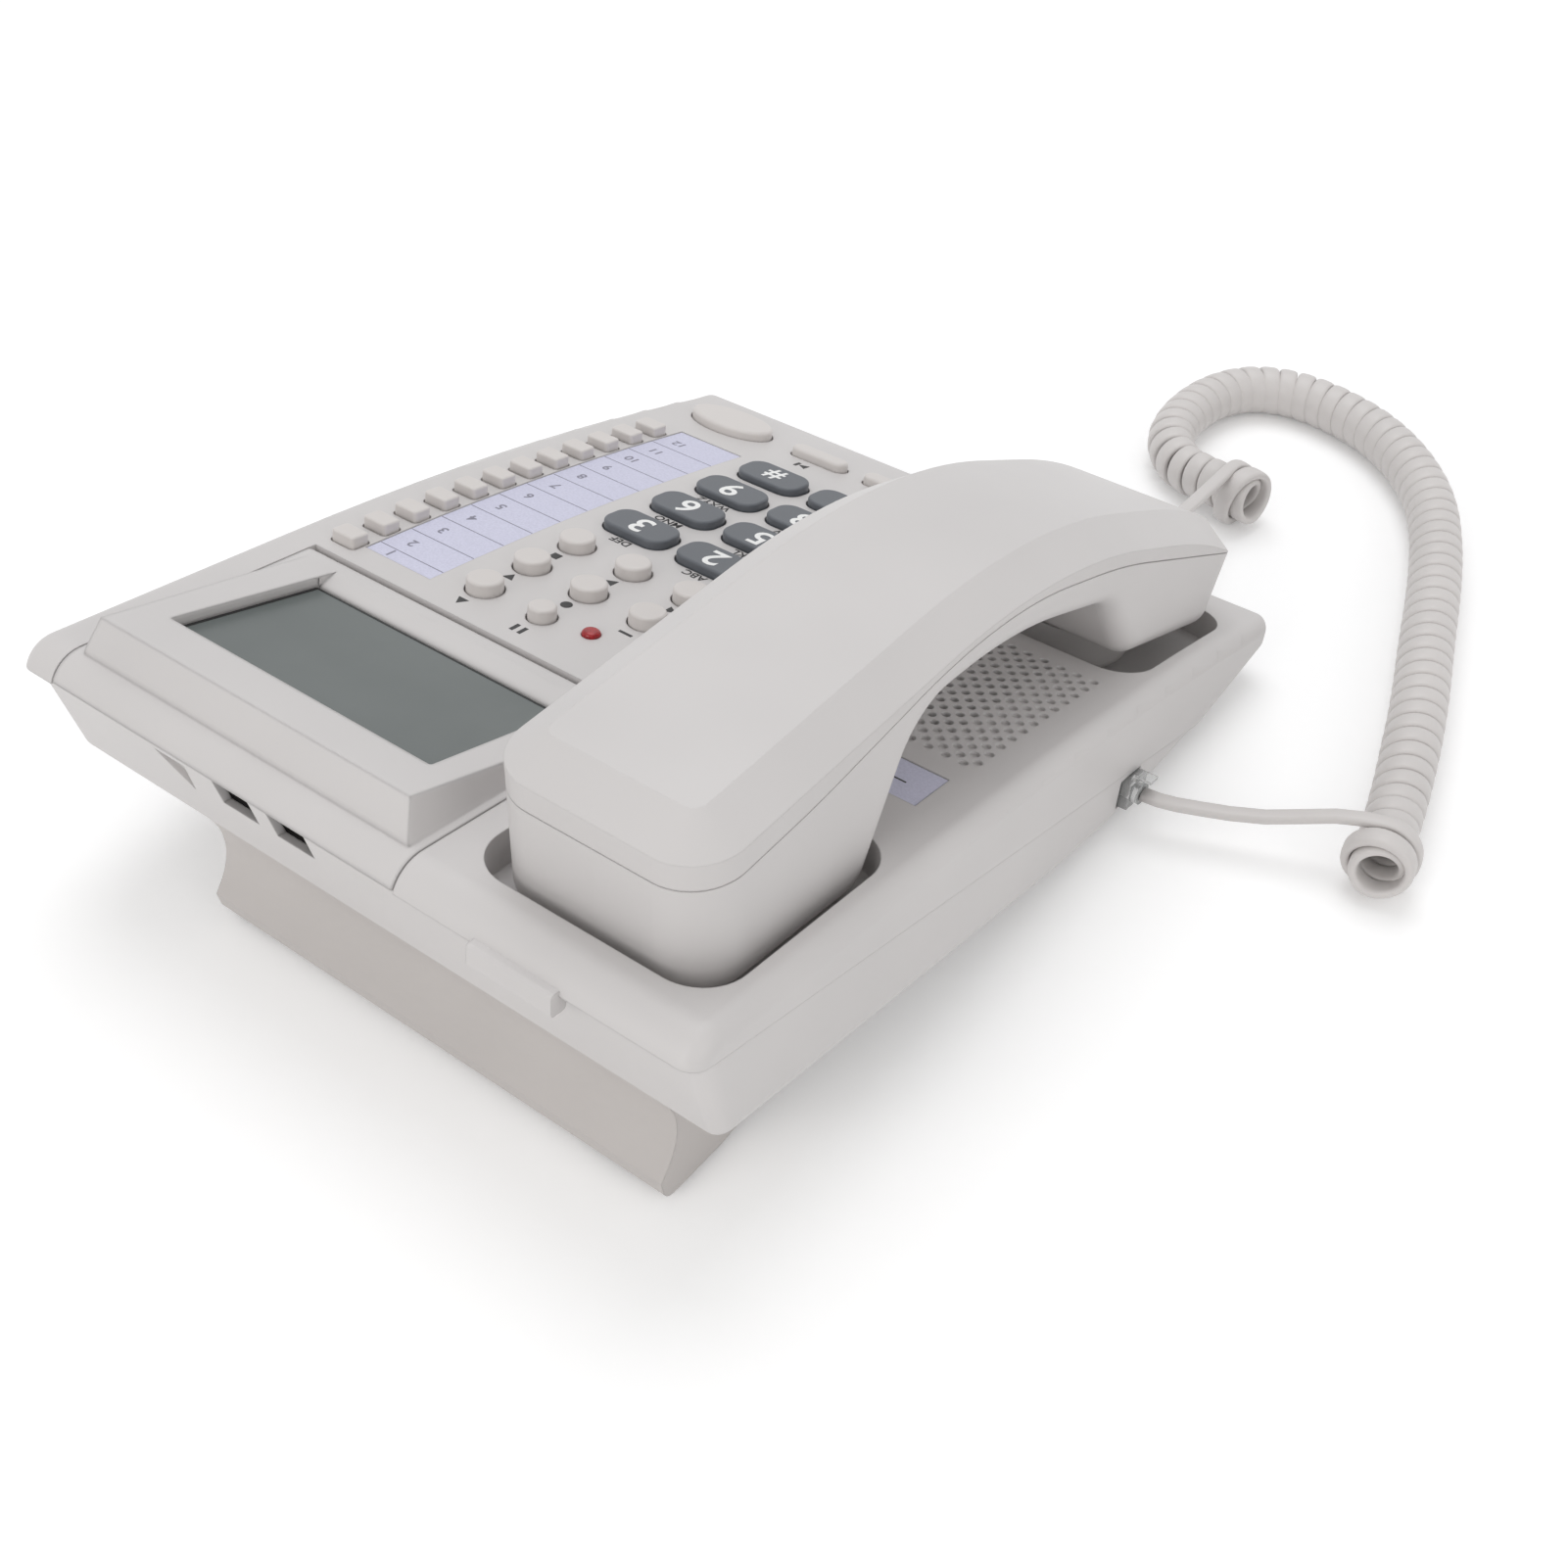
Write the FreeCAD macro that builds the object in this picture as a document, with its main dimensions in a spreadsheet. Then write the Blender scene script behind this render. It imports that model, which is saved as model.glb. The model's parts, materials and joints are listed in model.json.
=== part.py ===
import FreeCAD, Part
import math
import os

import Sketcher
from FreeCAD import Placement, Rotation, Vector

# Corded desk telephone with a tilting display and a curly handset cord.
# Case frame, in millimetres: x to the user's right, y to the rear, z square to the flat rear
# of the top. Each piece is built in that frame, then one placement stands it on the table.

os.makedirs("parts", exist_ok=True)
doc = FreeCAD.newDocument("desk_telephone")
sheet = doc.addObject("Spreadsheet::Sheet", "Dimensions")

DIMENSIONS = (
    # how the case frame stands on the table
    ("stance_tilt", 8.3),
    ("stance_back", 113.64),
    ("stance_lift", 28.3),
    # case outline
    ("case_width", 178.0),
    ("case_depth", 225.0),
    ("case_wall", 2.0),
    ("crown_radius", 980.0),
    ("flat_from", 156.0),
    ("barrel_radius", 8.0),
    ("side_round", 4.0),
    ("nose_height", 8.6),
    ("nose_round", 2.8),
    ("nose_reach", 26.0),
    ("parting_rear", 5.6),
    ("parting_angle", 6.6),
    ("seam_gap", 0.2),
    ("belly_depth", 37.0),
    ("belly_front", 76.0),
    ("belly_rear", 98.0),
    ("rear_foot_y", 213.5),
    ("rear_foot_z", 29.5),
    ("rear_wall_y", 222.2),
    ("boss_radius", 3.2),
    ("screw_radius", 1.4),
    ("screw_head", 2.6),
    # handset wells and loudspeaker field
    ("well_x", -54.6),
    ("well_width", 57.0),
    ("well_corner", 10.0),
    ("ear_well_front", 157.0),
    ("ear_well_rear", 214.0),
    ("ear_well_floor", 8.4),
    ("mouth_well_front", 13.0),
    ("mouth_well_rear", 65.5),
    ("mouth_well_floor", 17.9),
    ("grille_hole", 2.0),
    ("grille_pitch_x", 4.2),
    ("grille_pitch_y", 2.2),
    ("grille_left", -77.5),
    ("grille_front", 73.0),
    ("grille_columns", 11),
    ("grille_rows", 24),
    ("blind_depth", 0.8),
    # hook plunger in the ear well
    ("hook_x", -42.0),
    ("hook_y", 170.0),
    ("hook_width", 10.0),
    ("hook_depth", 6.0),
    ("hook_travel", 4.0),
    # key deck
    ("deck_angle", 3.54),
    ("deck_y", 95.7),
    ("board_angle", 4.41),
    ("board_depth", 7.6),
    ("key_gap", 0.4),
    ("key_drop", 3.8),
    ("key_flange", 0.9),
    ("digit_width", 18.6),
    ("digit_depth", 11.0),
    ("digit_corner", 4.2),
    ("digit_height", 2.1),
    ("digit_pitch_x", 22.2),
    ("digit_pitch_y", 17.37),
    ("digit_x", -10.97),
    ("digit_y", 94.9),
    ("memory_width", 7.2),
    ("memory_depth", 5.0),
    ("memory_corner", 0.9),
    ("memory_height", 2.6),
    ("memory_x", 74.2),
    ("memory_y", 148.4),
    ("memory_pitch", 9.54),
    ("function_size", 8.4),
    ("function_small", 6.4),
    ("function_height", 3.0),
    ("function_x", 38.2),
    ("function_y", 142.2),
    ("function_pitch_x", 17.0),
    ("function_pitch_y", 15.0),
    ("front_row_y", 19.0),
    ("oval_x", 65.5),
    ("oval_width", 25.0),
    ("oval_depth", 15.4),
    ("pill_x", 35.7),
    ("pill_pitch", 23.4),
    ("pill_width", 17.0),
    ("pill_depth", 5.2),
    ("pill_height", 2.4),
    ("lamp_x", 9.0),
    ("lamp_y", 140.0),
    ("lamp_radius", 2.1),
    # pieces inside
    ("speaker_x", -55.0),
    ("speaker_y", 99.0),
    ("speaker_radius", 24.5),
    ("post_radius", 2.0),
    ("mat_thick", 1.2),
    ("board_thick", 1.6),
    # papers
    ("card_x", 59.6),
    ("card_width", 20.0),
    ("card_front", 35.7),
    ("card_rear", 147.7),
    ("label_width", 44.0),
    ("label_front", 131.0),
    ("label_rear", 143.0),
    ("paper_recess", 0.6),
    ("paper_thick", 0.4),
    # display
    ("display_left", -19.3),
    ("display_right", 77.8),
    ("display_gap", 0.4),
    ("hinge_y", 158.0),
    ("hinge_radius", 2.6),
    ("hinge_pin", 1.5),
    ("hinge_pin_play", 0.08),
    ("hinge_reach", 1.9),
    ("wedge_left", -17.3),
    ("wedge_right", 75.4),
    ("wedge_rear", 214.9),
    ("wedge_height", 8.2),
    ("wedge_foot", 218.0),
    ("wedge_lean", 18.0),
    ("window_left", -8.5),
    ("window_right", 65.4),
    ("window_front", 165.7),
    ("window_rear", 204.0),
    ("window_bevel", 160.3),
    ("window_depth", 2.5),
    ("cover_thick", 1.8),
    # stand and feet
    ("stand_left", -74.0),
    ("stand_right", 50.0),
    ("stand_wall", 2.5),
    ("stand_pad", 1.6),
    ("tongue_front", 187.0),
    ("tongue_rear", 206.0),
    ("tongue_top", 26.2),
    ("tongue_play", 0.3),
    # sockets and plugs
    ("line_jack_x", 29.2),
    ("jack_pitch", 15.7),
    ("jack_depth", 12.8),
    ("line_jack_z", -12.7),
    ("socket_width", 10.4),
    ("socket_height", 7.0),
    ("cord_jack_y", 68.0),
    ("cord_jack_z", -28.6),
    ("plug_width", 7.6),
    ("plug_height", 6.6),
    ("plug_length", 14.0),
    ("plug_boss", 1.5),
    # handset
    ("handset_width", 50.0),
    ("handset_corner", 11.0),
    ("handset_band_in", 5.3),
    ("handset_band_down", 8.0),
    ("handset_wall", 2.2),
    ("handset_round", 5.0),
    ("handset_plug_z", -1.5),
    ("mouthpiece_y", 40.0),
    ("mouthpiece_radius", 14.0),
    ("mouthpiece_low", -17.5),
    ("mouthpiece_height", 11.0),
    ("receiver_y", 187.0),
    ("receiver_radius", 16.5),
    ("receiver_height", 8.0),
    ("microphone_y", 42.0),
    ("microphone_radius", 5.0),
    ("weight_width", 26.0),
    ("weight_length", 26.0),
    ("weight_height", 4.5),
    # cord
    ("cord_wire", 2.8),
    ("coil_diameter", 14.4),
    ("coil_turns", 60),
    ("coil_rest", 7.35),
)
for row, (alias, number) in enumerate(DIMENSIONS, start=1):
    sheet.set(f"A{row}", alias)
    sheet.set(f"B{row}", str(number))
    sheet.setAlias(f"B{row}", alias)
doc.recompute()


def dim(alias):
    return float(sheet.get(alias))


def cell(formula):
    """Turn a formula of bare aliases into an expression on the sheet."""
    words = formula.split()
    return " ".join("Dimensions." + word if word[0].isalpha() else word for word in words)


def evaluate(formula):
    return float(sheet.evalExpression(cell(formula)))


WALL = dim("case_wall")
TILT = math.radians(dim("stance_tilt"))
STANDING = Placement(
    Vector(0, -dim("stance_back"), dim("stance_lift")),
    Rotation(Vector(1, 0, 0), dim("stance_tilt")),
)
nodes = []


def keep(node, local=Placement()):
    """Stand a finished piece on the table and list it."""
    node.Placement = STANDING.multiply(local)
    nodes.append(node)


# Lines that several pieces share
def crown(y):
    """Height of the crowned top: one long arc that runs out flat at the rear."""
    run = max(dim("flat_from") - y, 0.0)
    radius = dim("crown_radius")
    return math.sqrt(radius ** 2 - run ** 2) - radius


def barrel_end():
    """How far back the rounded rear edge reaches where the two mouldings part."""
    radius = dim("barrel_radius")
    return dim("case_depth") - radius + math.sqrt(radius ** 2 - (radius - dim("parting_rear")) ** 2)


def parting(y):
    """Slanted line where the upper and lower mouldings meet."""
    return -dim("parting_rear") + math.tan(math.radians(dim("parting_angle"))) * (y - barrel_end())


def table(y):
    """The table top, seen from the tilted case frame."""
    return (-dim("stance_lift") - y * math.sin(TILT)) / math.cos(TILT)


def belly(y):
    """Underside of the lower moulding."""
    marks = [
        (dim("nose_reach"), parting(dim("nose_reach"))),
        (dim("belly_front"), -dim("belly_depth")),
        (dim("belly_rear"), -dim("belly_depth")),
        (dim("rear_foot_y"), -dim("rear_foot_z")),
    ]
    for (y0, z0), (y1, z1) in zip(marks, marks[1:]):
        if y <= y1:
            return z0 + (z1 - z0) * (y - y0) / (y1 - y0)
    return marks[-1][1]


def on_deck(y, angle):
    """Frame on the crowned top at depth y, leaning forward by an angle."""
    return Placement(Vector(0, y, crown(y)), Rotation(Vector(1, 0, 0), angle))


DECK = on_deck(dim("deck_y"), dim("deck_angle"))
FRONT_ROW = on_deck(dim("front_row_y"), math.degrees(math.asin(
    (dim("flat_from") - dim("front_row_y")) / dim("crown_radius"))))


SPEAKER = on_deck(dim("speaker_y"), math.degrees(math.asin(
    (dim("flat_from") - dim("speaker_y")) / dim("crown_radius"))))
BOARD = on_deck(dim("front_row_y"), dim("board_angle"))


def key_frame(deck, x, y):
    """Frame of one key on the panel: at its centre, square to the deck it is pressed into."""
    local = deck.inverse().multVec(Vector(x, y, crown(y)))
    return deck.multiply(Placement(local, Rotation()))


# Outlines
def rounded_polygon(corners):
    """Edges of a closed outline from (u, v) or (u, v, radius) corners."""
    spots = [Vector(corner[0], corner[1], 0) for corner in corners]
    radii = [corner[2] if len(corner) > 2 else 0.0 for corner in corners]
    starts, middles, ends = [], [], []
    for i, spot in enumerate(spots):
        before = (spots[i - 1] - spot).normalize()
        after = (spots[(i + 1) % len(spots)] - spot).normalize()
        half = before.getAngle(after) / 2
        reach = radii[i] / math.tan(half)
        bisector = (before + after).normalize()
        starts.append(spot + before * reach)
        ends.append(spot + after * reach)
        middles.append(spot + bisector * (radii[i] / math.sin(half) - radii[i]))
    edges = []
    for i in range(len(spots)):
        if radii[i]:
            edges.append(Part.Arc(starts[i], middles[i], ends[i]))
        following = starts[(i + 1) % len(spots)]
        if (following - ends[i]).Length > 1e-6:
            edges.append(Part.LineSegment(ends[i], following))
    return edges


def rectangle(u0, v0, u1, v1, corner=0.0):
    return rounded_polygon([(u0, v0, corner), (u1, v0, corner), (u1, v1, corner), (u0, v1, corner)])


def oblong(x, y, width, depth, corner):
    return rectangle(x - width / 2, y - depth / 2, x + width / 2, y + depth / 2, corner)


def ring(u, v, radius):
    return [Part.Circle(Vector(u, v, 0), Vector(0, 0, 1), radius)]


def lines(points):
    return [Part.LineSegment(Vector(*a), Vector(*b)) for a, b in zip(points, points[1:])]


def crown_arc(y0, y1, drop):
    """The top's curve between two depths, lowered by a drop."""
    spots = [Vector(y, crown(y) - drop, 0) for y in (y0, (y0 + y1) / 2, y1)]
    return Part.Arc(*spots)


def crown_band(y0, y1, upper, lower):
    """Closed side outline of a layer that follows the top between two drops."""
    rear = lines([(y1, crown(y1) - upper), (y1, crown(y1) - lower)])
    front = lines([(y0, crown(y0) - lower), (y0, crown(y0) - upper)])
    return [crown_arc(y0, y1, upper), crown_arc(y0, y1, lower)] + rear + front


# Bodies, sketches and features
def new_body(label):
    body = doc.addObject("PartDesign::Body", label)
    body.Label = label
    body.AllowCompound = True
    return body


def sketch_on(body, plane, edges, offset=Placement()):
    sketch = body.newObject("Sketcher::SketchObject", body.Name + "_outline")
    support = next(item for item in body.Origin.OriginFeatures if item.Role == plane)
    sketch.AttachmentSupport = (support, [""])
    sketch.MapMode = "FlatFace"
    sketch.AttachmentOffset = offset
    for edge in edges:
        sketch.addGeometry(edge)
    return sketch


def side_sketch(body, edges, x=0.0):
    """Outline in the side view (y across, z up), at a place along the width."""
    return sketch_on(body, "YZ_Plane", edges, Placement(Vector(0, 0, x), Rotation()))


def plan_sketch(body, edges, z=0.0):
    """Outline in the top view (x across, y up), at a height."""
    return sketch_on(body, "XY_Plane", edges, Placement(Vector(0, 0, z), Rotation()))


def extrude(kind, body, sketch, length, both, reverse):
    feature = body.newObject("PartDesign::" + kind, f"{body.Name}_{kind.lower()}")
    feature.Profile = sketch
    feature.SideType = "Symmetric" if both else "One side"
    feature.Reversed = reverse
    feature.setExpression("Length", cell(length))
    doc.recompute()
    return feature


def pad(body, sketch, length, both=False, reverse=False):
    return extrude("Pad", body, sketch, length, both, reverse)


def pocket(body, sketch, length, both=False, reverse=False):
    before = body.Shape.Volume
    feature = extrude("Pocket", body, sketch, length, both, reverse)
    if body.Shape.Volume > before - 1e-3:
        raise RuntimeError(f"{feature.Name} cuts nothing")
    return feature


def edge_feature(kind, body, picked):
    base = body.Tip
    names = [f"Edge{i}" for i, edge in enumerate(base.Shape.Edges, start=1) if picked(edge)]
    feature = body.newObject("PartDesign::" + kind, f"{body.Name}_{kind.lower()}")
    feature.Base = (base, names)
    return feature


def fillet(body, picked, radius):
    feature = edge_feature("Fillet", body, picked)
    feature.setExpression("Radius", cell(radius))
    doc.recompute()
    return feature


def near(number, target, slack=1e-3):
    return abs(number - target) < slack


def flat_in_x(edge, x):
    """An edge that lies wholly at one place along the width, on either side."""
    box = edge.BoundBox
    return box.XLength < 1e-3 and near(abs(box.XMin), x)


def level_top(height):
    """Edges that lie wholly at one height."""
    return lambda edge: near(edge.BoundBox.ZMin, height) and near(edge.BoundBox.ZMax, height)


def bound_rectangle(body, width, depth, z):
    """A rectangle about the body's z axis, its size driven by the sheet."""
    half_x, half_y = evaluate(width) / 2, evaluate(depth) / 2
    sketch = plan_sketch(body, rectangle(-half_x, -half_y, half_x, half_y), z)
    for i, kind in enumerate(("Horizontal", "Vertical", "Horizontal", "Vertical")):
        sketch.addConstraint(Sketcher.Constraint("Coincident", i, 2, (i + 1) % 4, 1))
        sketch.addConstraint(Sketcher.Constraint(kind, i))
    sketch.addConstraint(Sketcher.Constraint("Symmetric", 0, 1, 2, 1, -1, 1))
    drive(sketch, "width", Sketcher.Constraint("DistanceX", 0, 1, 0, 2, 2 * half_x), width)
    drive(sketch, "depth", Sketcher.Constraint("DistanceY", 1, 1, 1, 2, 2 * half_y), depth)
    return sketch


def bound_circle(body, radius, z):
    """A circle about the body's z axis, its size driven by the sheet."""
    sketch = plan_sketch(body, ring(0, 0, evaluate(radius)), z)
    sketch.addConstraint(Sketcher.Constraint("Coincident", 0, 3, -1, 1))
    drive(sketch, "radius", Sketcher.Constraint("Radius", 0, evaluate(radius)), radius)
    return sketch


def drive(sketch, name, constraint, formula):
    index = sketch.addConstraint(constraint)
    sketch.renameConstraint(index, name)
    sketch.setExpression("Constraints." + name, cell(formula))


def upright(edge):
    box = edge.BoundBox
    return box.XLength < 1e-3 and box.YLength < 1e-3


# Keys: where each one sits on the panel, row by row from the rear
def digit_places():
    names = ("one", "two", "three", "four", "five", "six", "seven", "eight", "nine", "star", "zero", "hash")
    for i, name in enumerate(names):
        x = dim("digit_x") + dim("digit_pitch_x") * (i % 3)
        y = dim("digit_y") - dim("digit_pitch_y") * (i // 3)
        yield "key_" + name, x, y


def memory_places():
    for i in range(12):
        yield f"memory_key_{i + 1}", dim("memory_x"), dim("memory_y") - dim("memory_pitch") * i


def function_places():
    """Three columns of three, with the lamp in place of one button; one button is smaller."""
    for i in range(9):
        column, line = i // 3, i % 3
        if (column, line) == (2, 0):
            continue
        size = "function_small" if (column, line) == (1, 0) else "function_size"
        x = dim("function_x") - dim("function_pitch_x") * column
        y = dim("function_y") - dim("function_pitch_y") * line
        yield f"function_key_{column + 1}{line + 1}", x, y, size


def front_places():
    yield "pill_key_right", dim("pill_x"), "pill_width", "pill_depth", "pill_depth * 0.46"
    yield "pill_key_left", dim("pill_x") - dim("pill_pitch"), "pill_width", "pill_depth", "pill_depth * 0.46"


def block_key(label, frame, width, depth, corner, height, edge_round):
    """A key with a straight-sided cap and a flange that holds it under the panel."""
    body = new_body(label)
    pad(body, bound_rectangle(body, width, depth, -dim("key_drop")), f"key_drop + {height}")
    fillet(body, upright, corner)
    fillet(body, level_top(evaluate(height)), edge_round)
    flange = bound_rectangle(body, f"{width} + 2 * key_flange", f"{depth} + 2 * key_flange", -dim("key_drop"))
    pad(body, flange, "key_flange")
    keep(body, frame)


def round_key(label, frame, size):
    body = new_body(label)
    pad(body, bound_circle(body, f"{size} / 2", -dim("key_drop")), "key_drop + function_height")
    fillet(body, level_top(dim("function_height")), "function_height * 0.25")
    pad(body, bound_circle(body, f"{size} / 2 + key_flange", -dim("key_drop")), "key_flange")
    keep(body, frame)


def oval(x, y, spare):
    """Ellipse of the oval key, larger all round by some spare."""
    return [Part.Ellipse(Vector(x, y, 0), dim("oval_width") / 2 + spare, dim("oval_depth") / 2 + spare)]


def oval_key():
    body = new_body("oval_key")
    drop = -dim("key_drop")
    pad(body, plan_sketch(body, oval(0, 0, 0), drop), "key_drop + pill_height")
    fillet(body, level_top(dim("pill_height")), "pill_height * 0.4")
    pad(body, plan_sketch(body, oval(0, 0, dim("key_flange")), drop), "key_flange")
    keep(body, key_frame(FRONT_ROW, dim("oval_x"), dim("front_row_y")))


def keys():
    oval_key()
    for label, x, y in digit_places():
        sizes = ("digit_width", "digit_depth", "digit_corner", "digit_height", "digit_height * 0.3")
        block_key(label, key_frame(DECK, x, y), *sizes)
    for label, x, y in memory_places():
        sizes = ("memory_width", "memory_depth", "memory_corner", "memory_height", "memory_height * 0.2")
        block_key(label, key_frame(DECK, x, y), *sizes)
    for label, x, y, size in function_places():
        round_key(label, key_frame(DECK, x, y), size)
    for label, x, width, depth, corner in front_places():
        frame = key_frame(FRONT_ROW, x, dim("front_row_y"))
        block_key(label, frame, width, depth, corner, "pill_height", "pill_height * 0.4")


def key_openings(body):
    """Holes in the panel, square to the deck, a little wider than the keys."""
    gap = 2 * dim("key_gap")
    deck_edges, front_edges = [], []
    for _, x, y in digit_places():
        spot = DECK.inverse().multVec(Vector(x, y, crown(y)))
        size = (dim("digit_width") + gap, dim("digit_depth") + gap)
        deck_edges += oblong(spot.x, spot.y, *size, dim("digit_corner") + dim("key_gap"))
    for _, x, y in memory_places():
        spot = DECK.inverse().multVec(Vector(x, y, crown(y)))
        size = (dim("memory_width") + gap, dim("memory_depth") + gap)
        deck_edges += oblong(spot.x, spot.y, *size, dim("memory_corner") + dim("key_gap"))
    for _, x, y, size in function_places():
        spot = DECK.inverse().multVec(Vector(x, y, crown(y)))
        deck_edges += ring(spot.x, spot.y, dim(size) / 2 + dim("key_gap"))
    lamp = DECK.inverse().multVec(Vector(dim("lamp_x"), dim("lamp_y"), crown(dim("lamp_y"))))
    deck_edges += ring(lamp.x, lamp.y, dim("lamp_radius") + 0.1)
    for _, x, width, depth, corner in front_places():
        size = (dim(width) + gap, dim(depth) + gap)
        front_edges += oblong(x, 0, *size, evaluate(corner) + dim("key_gap"))
    front_edges += oval(dim("oval_x"), 0, dim("key_gap"))
    pocket(body, sketch_on(body, "XY_Plane", deck_edges, DECK), "key_drop * 3", both=True)
    pocket(body, sketch_on(body, "XY_Plane", front_edges, FRONT_ROW), "key_drop * 2", both=True)


# Upper moulding
SCREW_PLACES = ((83.0, 46.0), (83.0, 149.0), (-80.0, 150.0), (-26.0, 80.0))
BOARD_POSTS = ((-19.0, 13.0), (76.0, 33.5), (-19.0, 147.0), (50.0, 148.0))
TAB = {"x": -49.5, "front": 222.5, "rear": 226.3, "low": -9.6, "high": -4.6}
ABOVE = 12.0
BAY_SPAN = "display_right - display_left + 2 * display_gap"


def top_outline():
    depth, radius = dim("case_depth"), dim("barrel_radius")
    turn = depth - radius
    rear = (barrel_end(), -dim("parting_rear"))
    under = (dim("nose_reach"), parting(dim("nose_reach")))
    swing = math.acos((radius - dim("parting_rear")) / radius) / 2
    middle = Vector(turn + radius * math.sin(swing), radius * math.cos(swing) - radius, 0)
    barrel = Part.Arc(Vector(turn, 0, 0), middle, Vector(*rear, 0))
    nose = (0, crown(0) - dim("nose_height"))
    return [
        crown_arc(0, dim("flat_from"), 0),
        *lines([(dim("flat_from"), 0), (turn, 0)]),
        barrel,
        *lines([rear, under, nose, (0, crown(0))]),
    ]


def top_hollow():
    """The space inside, open below the parting line and closed over the nose."""
    turn = dim("case_depth") - dim("barrel_radius")
    reach, low = dim("nose_reach"), crown(0) - dim("nose_height")
    corner = turn + dim("barrel_radius") - WALL - 0.4
    rounding = dim("barrel_radius") - WALL
    half = rounding * (1 - math.sqrt(0.5))
    barrel = Part.Arc(
        Vector(corner - rounding, -WALL, 0),
        Vector(corner - half, -WALL - half, 0),
        Vector(corner, -WALL - rounding, 0),
    )
    floor = [
        (corner, -WALL - rounding),
        (corner, -2 * dim("barrel_radius")),
        (reach + 2 * WALL, parting(reach) - 3 * WALL),
        (reach + 2 * WALL, parting(reach) + WALL),
        (WALL, low + WALL),
        (WALL, crown(WALL) - WALL),
    ]
    return [
        crown_arc(WALL, dim("flat_from"), WALL),
        *lines([(dim("flat_from"), -WALL), (corner - rounding, -WALL)]),
        barrel,
        *lines(floor),
    ]


def well_tubs(body):
    """Walls and floors that hang from the top round the two handset wells and the display bay."""
    skin = WALL * 0.6
    front, rear = dim("ear_well_front") - WALL, dim("ear_well_rear") + WALL
    ear = rectangle(front, -dim("ear_well_floor") - WALL, rear, -skin)
    pad(body, side_sketch(body, ear, dim("well_x")), "well_width + 2 * case_wall", both=True)
    front, rear = dim("mouth_well_front") - WALL, dim("mouth_well_rear") + WALL
    floor = -dim("mouth_well_floor") - WALL
    mouth = [crown_arc(front, rear, skin)]
    mouth += lines([(rear, crown(rear) - skin), (rear, floor), (front, floor), (front, crown(front) - skin)])
    pad(body, side_sketch(body, mouth, dim("well_x")), "well_width + 2 * case_wall", both=True)
    bay_rear = dim("rear_wall_y") - 1.6 * WALL
    bay = rectangle(bay_front() - WALL, bay_floor() - WALL, bay_rear, -skin)
    pad(body, side_sketch(body, bay, display_middle()), f"{BAY_SPAN} + 2 * case_wall", both=True)


def bay_front():
    return dim("hinge_y") - dim("hinge_radius") - dim("display_gap")


def bay_floor():
    return -2 * dim("hinge_radius") - dim("display_gap") - 0.1


def display_middle():
    return (dim("display_left") + dim("display_right")) / 2


def well_openings(body):
    half = dim("well_width") / 2
    left, right, corner = dim("well_x") - half, dim("well_x") + half, dim("well_corner")
    ear = rectangle(left, dim("ear_well_front"), right, dim("ear_well_rear"), corner)
    pocket(body, plan_sketch(body, ear, ABOVE), f"ear_well_floor + {ABOVE}")
    mouth = rectangle(left, dim("mouth_well_front"), right, dim("mouth_well_rear"), corner)
    pocket(body, plan_sketch(body, mouth, ABOVE), f"mouth_well_floor + {ABOVE}")
    bay = rectangle(bay_front(), bay_floor(), dim("case_depth") + 5, ABOVE)
    pocket(body, side_sketch(body, bay, display_middle()), BAY_SPAN, both=True)
    pin = ring(dim("hinge_y"), -dim("hinge_radius"), dim("hinge_pin") + dim("hinge_pin_play"))
    pocket(body, side_sketch(body, pin, display_middle()), f"{BAY_SPAN} + 3 * case_wall", both=True)
    hook = oblong(dim("hook_x"), dim("hook_y"), dim("hook_width") + 0.8, dim("hook_depth") + 0.8, 1.4)
    pocket(body, plan_sketch(body, hook, ABOVE), f"ear_well_floor + {ABOVE} + 2 * case_wall")


def grille(body):
    """Staggered sound holes over the loudspeaker."""
    edges = []
    for line in range(int(dim("grille_rows"))):
        shift = 0.5 * (line % 2)
        for column in range(int(dim("grille_columns")) - line % 2):
            x = dim("grille_left") + dim("grille_pitch_x") * (column + shift)
            y = dim("grille_front") + dim("grille_pitch_y") * line
            edges += ring(x, y, dim("grille_hole") / 2)
    pocket(body, plan_sketch(body, edges, ABOVE), f"{ABOVE} + 4 * case_wall")
    rear = dim("grille_front") + dim("grille_pitch_y") * dim("grille_rows")
    blind = dim("blind_depth")
    left = crown_band(dim("grille_front") - 3, rear + 1, blind, WALL)
    side = dim("grille_left") + dim("grille_pitch_x")
    pad(body, side_sketch(body, left, side), "grille_pitch_x * 3", both=True)
    back = crown_band(rear - 4.5 * dim("grille_pitch_y"), rear + 1, blind, WALL)
    pad(body, side_sketch(body, back, dim("speaker_x")), "grille_pitch_x * 12", both=True)


def paper_recesses(body):
    card = crown_band(dim("card_front") - 0.2, dim("card_rear") + 0.2, -1.0, dim("paper_recess"))
    pocket(body, side_sketch(body, card, dim("card_x")), "card_width + 0.4", both=True)
    label = crown_band(dim("label_front") - 0.2, dim("label_rear") + 0.2, -1.0, dim("paper_recess"))
    pocket(body, side_sketch(body, label, dim("well_x")), "label_width + 0.4", both=True)


def screw_bosses(body):
    for x, y in SCREW_PLACES:
        start = crown(y) - WALL * 0.6
        length = start - belly(y) - 2 * WALL - dim("seam_gap")
        pad(body, plan_sketch(body, ring(x, y, dim("boss_radius")), start), f"{length}", reverse=True)
        hole = plan_sketch(body, ring(x, y, dim("screw_radius") + 0.1), belly(y))
        pocket(body, hole, "boss_radius * 5", reverse=True)


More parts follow.
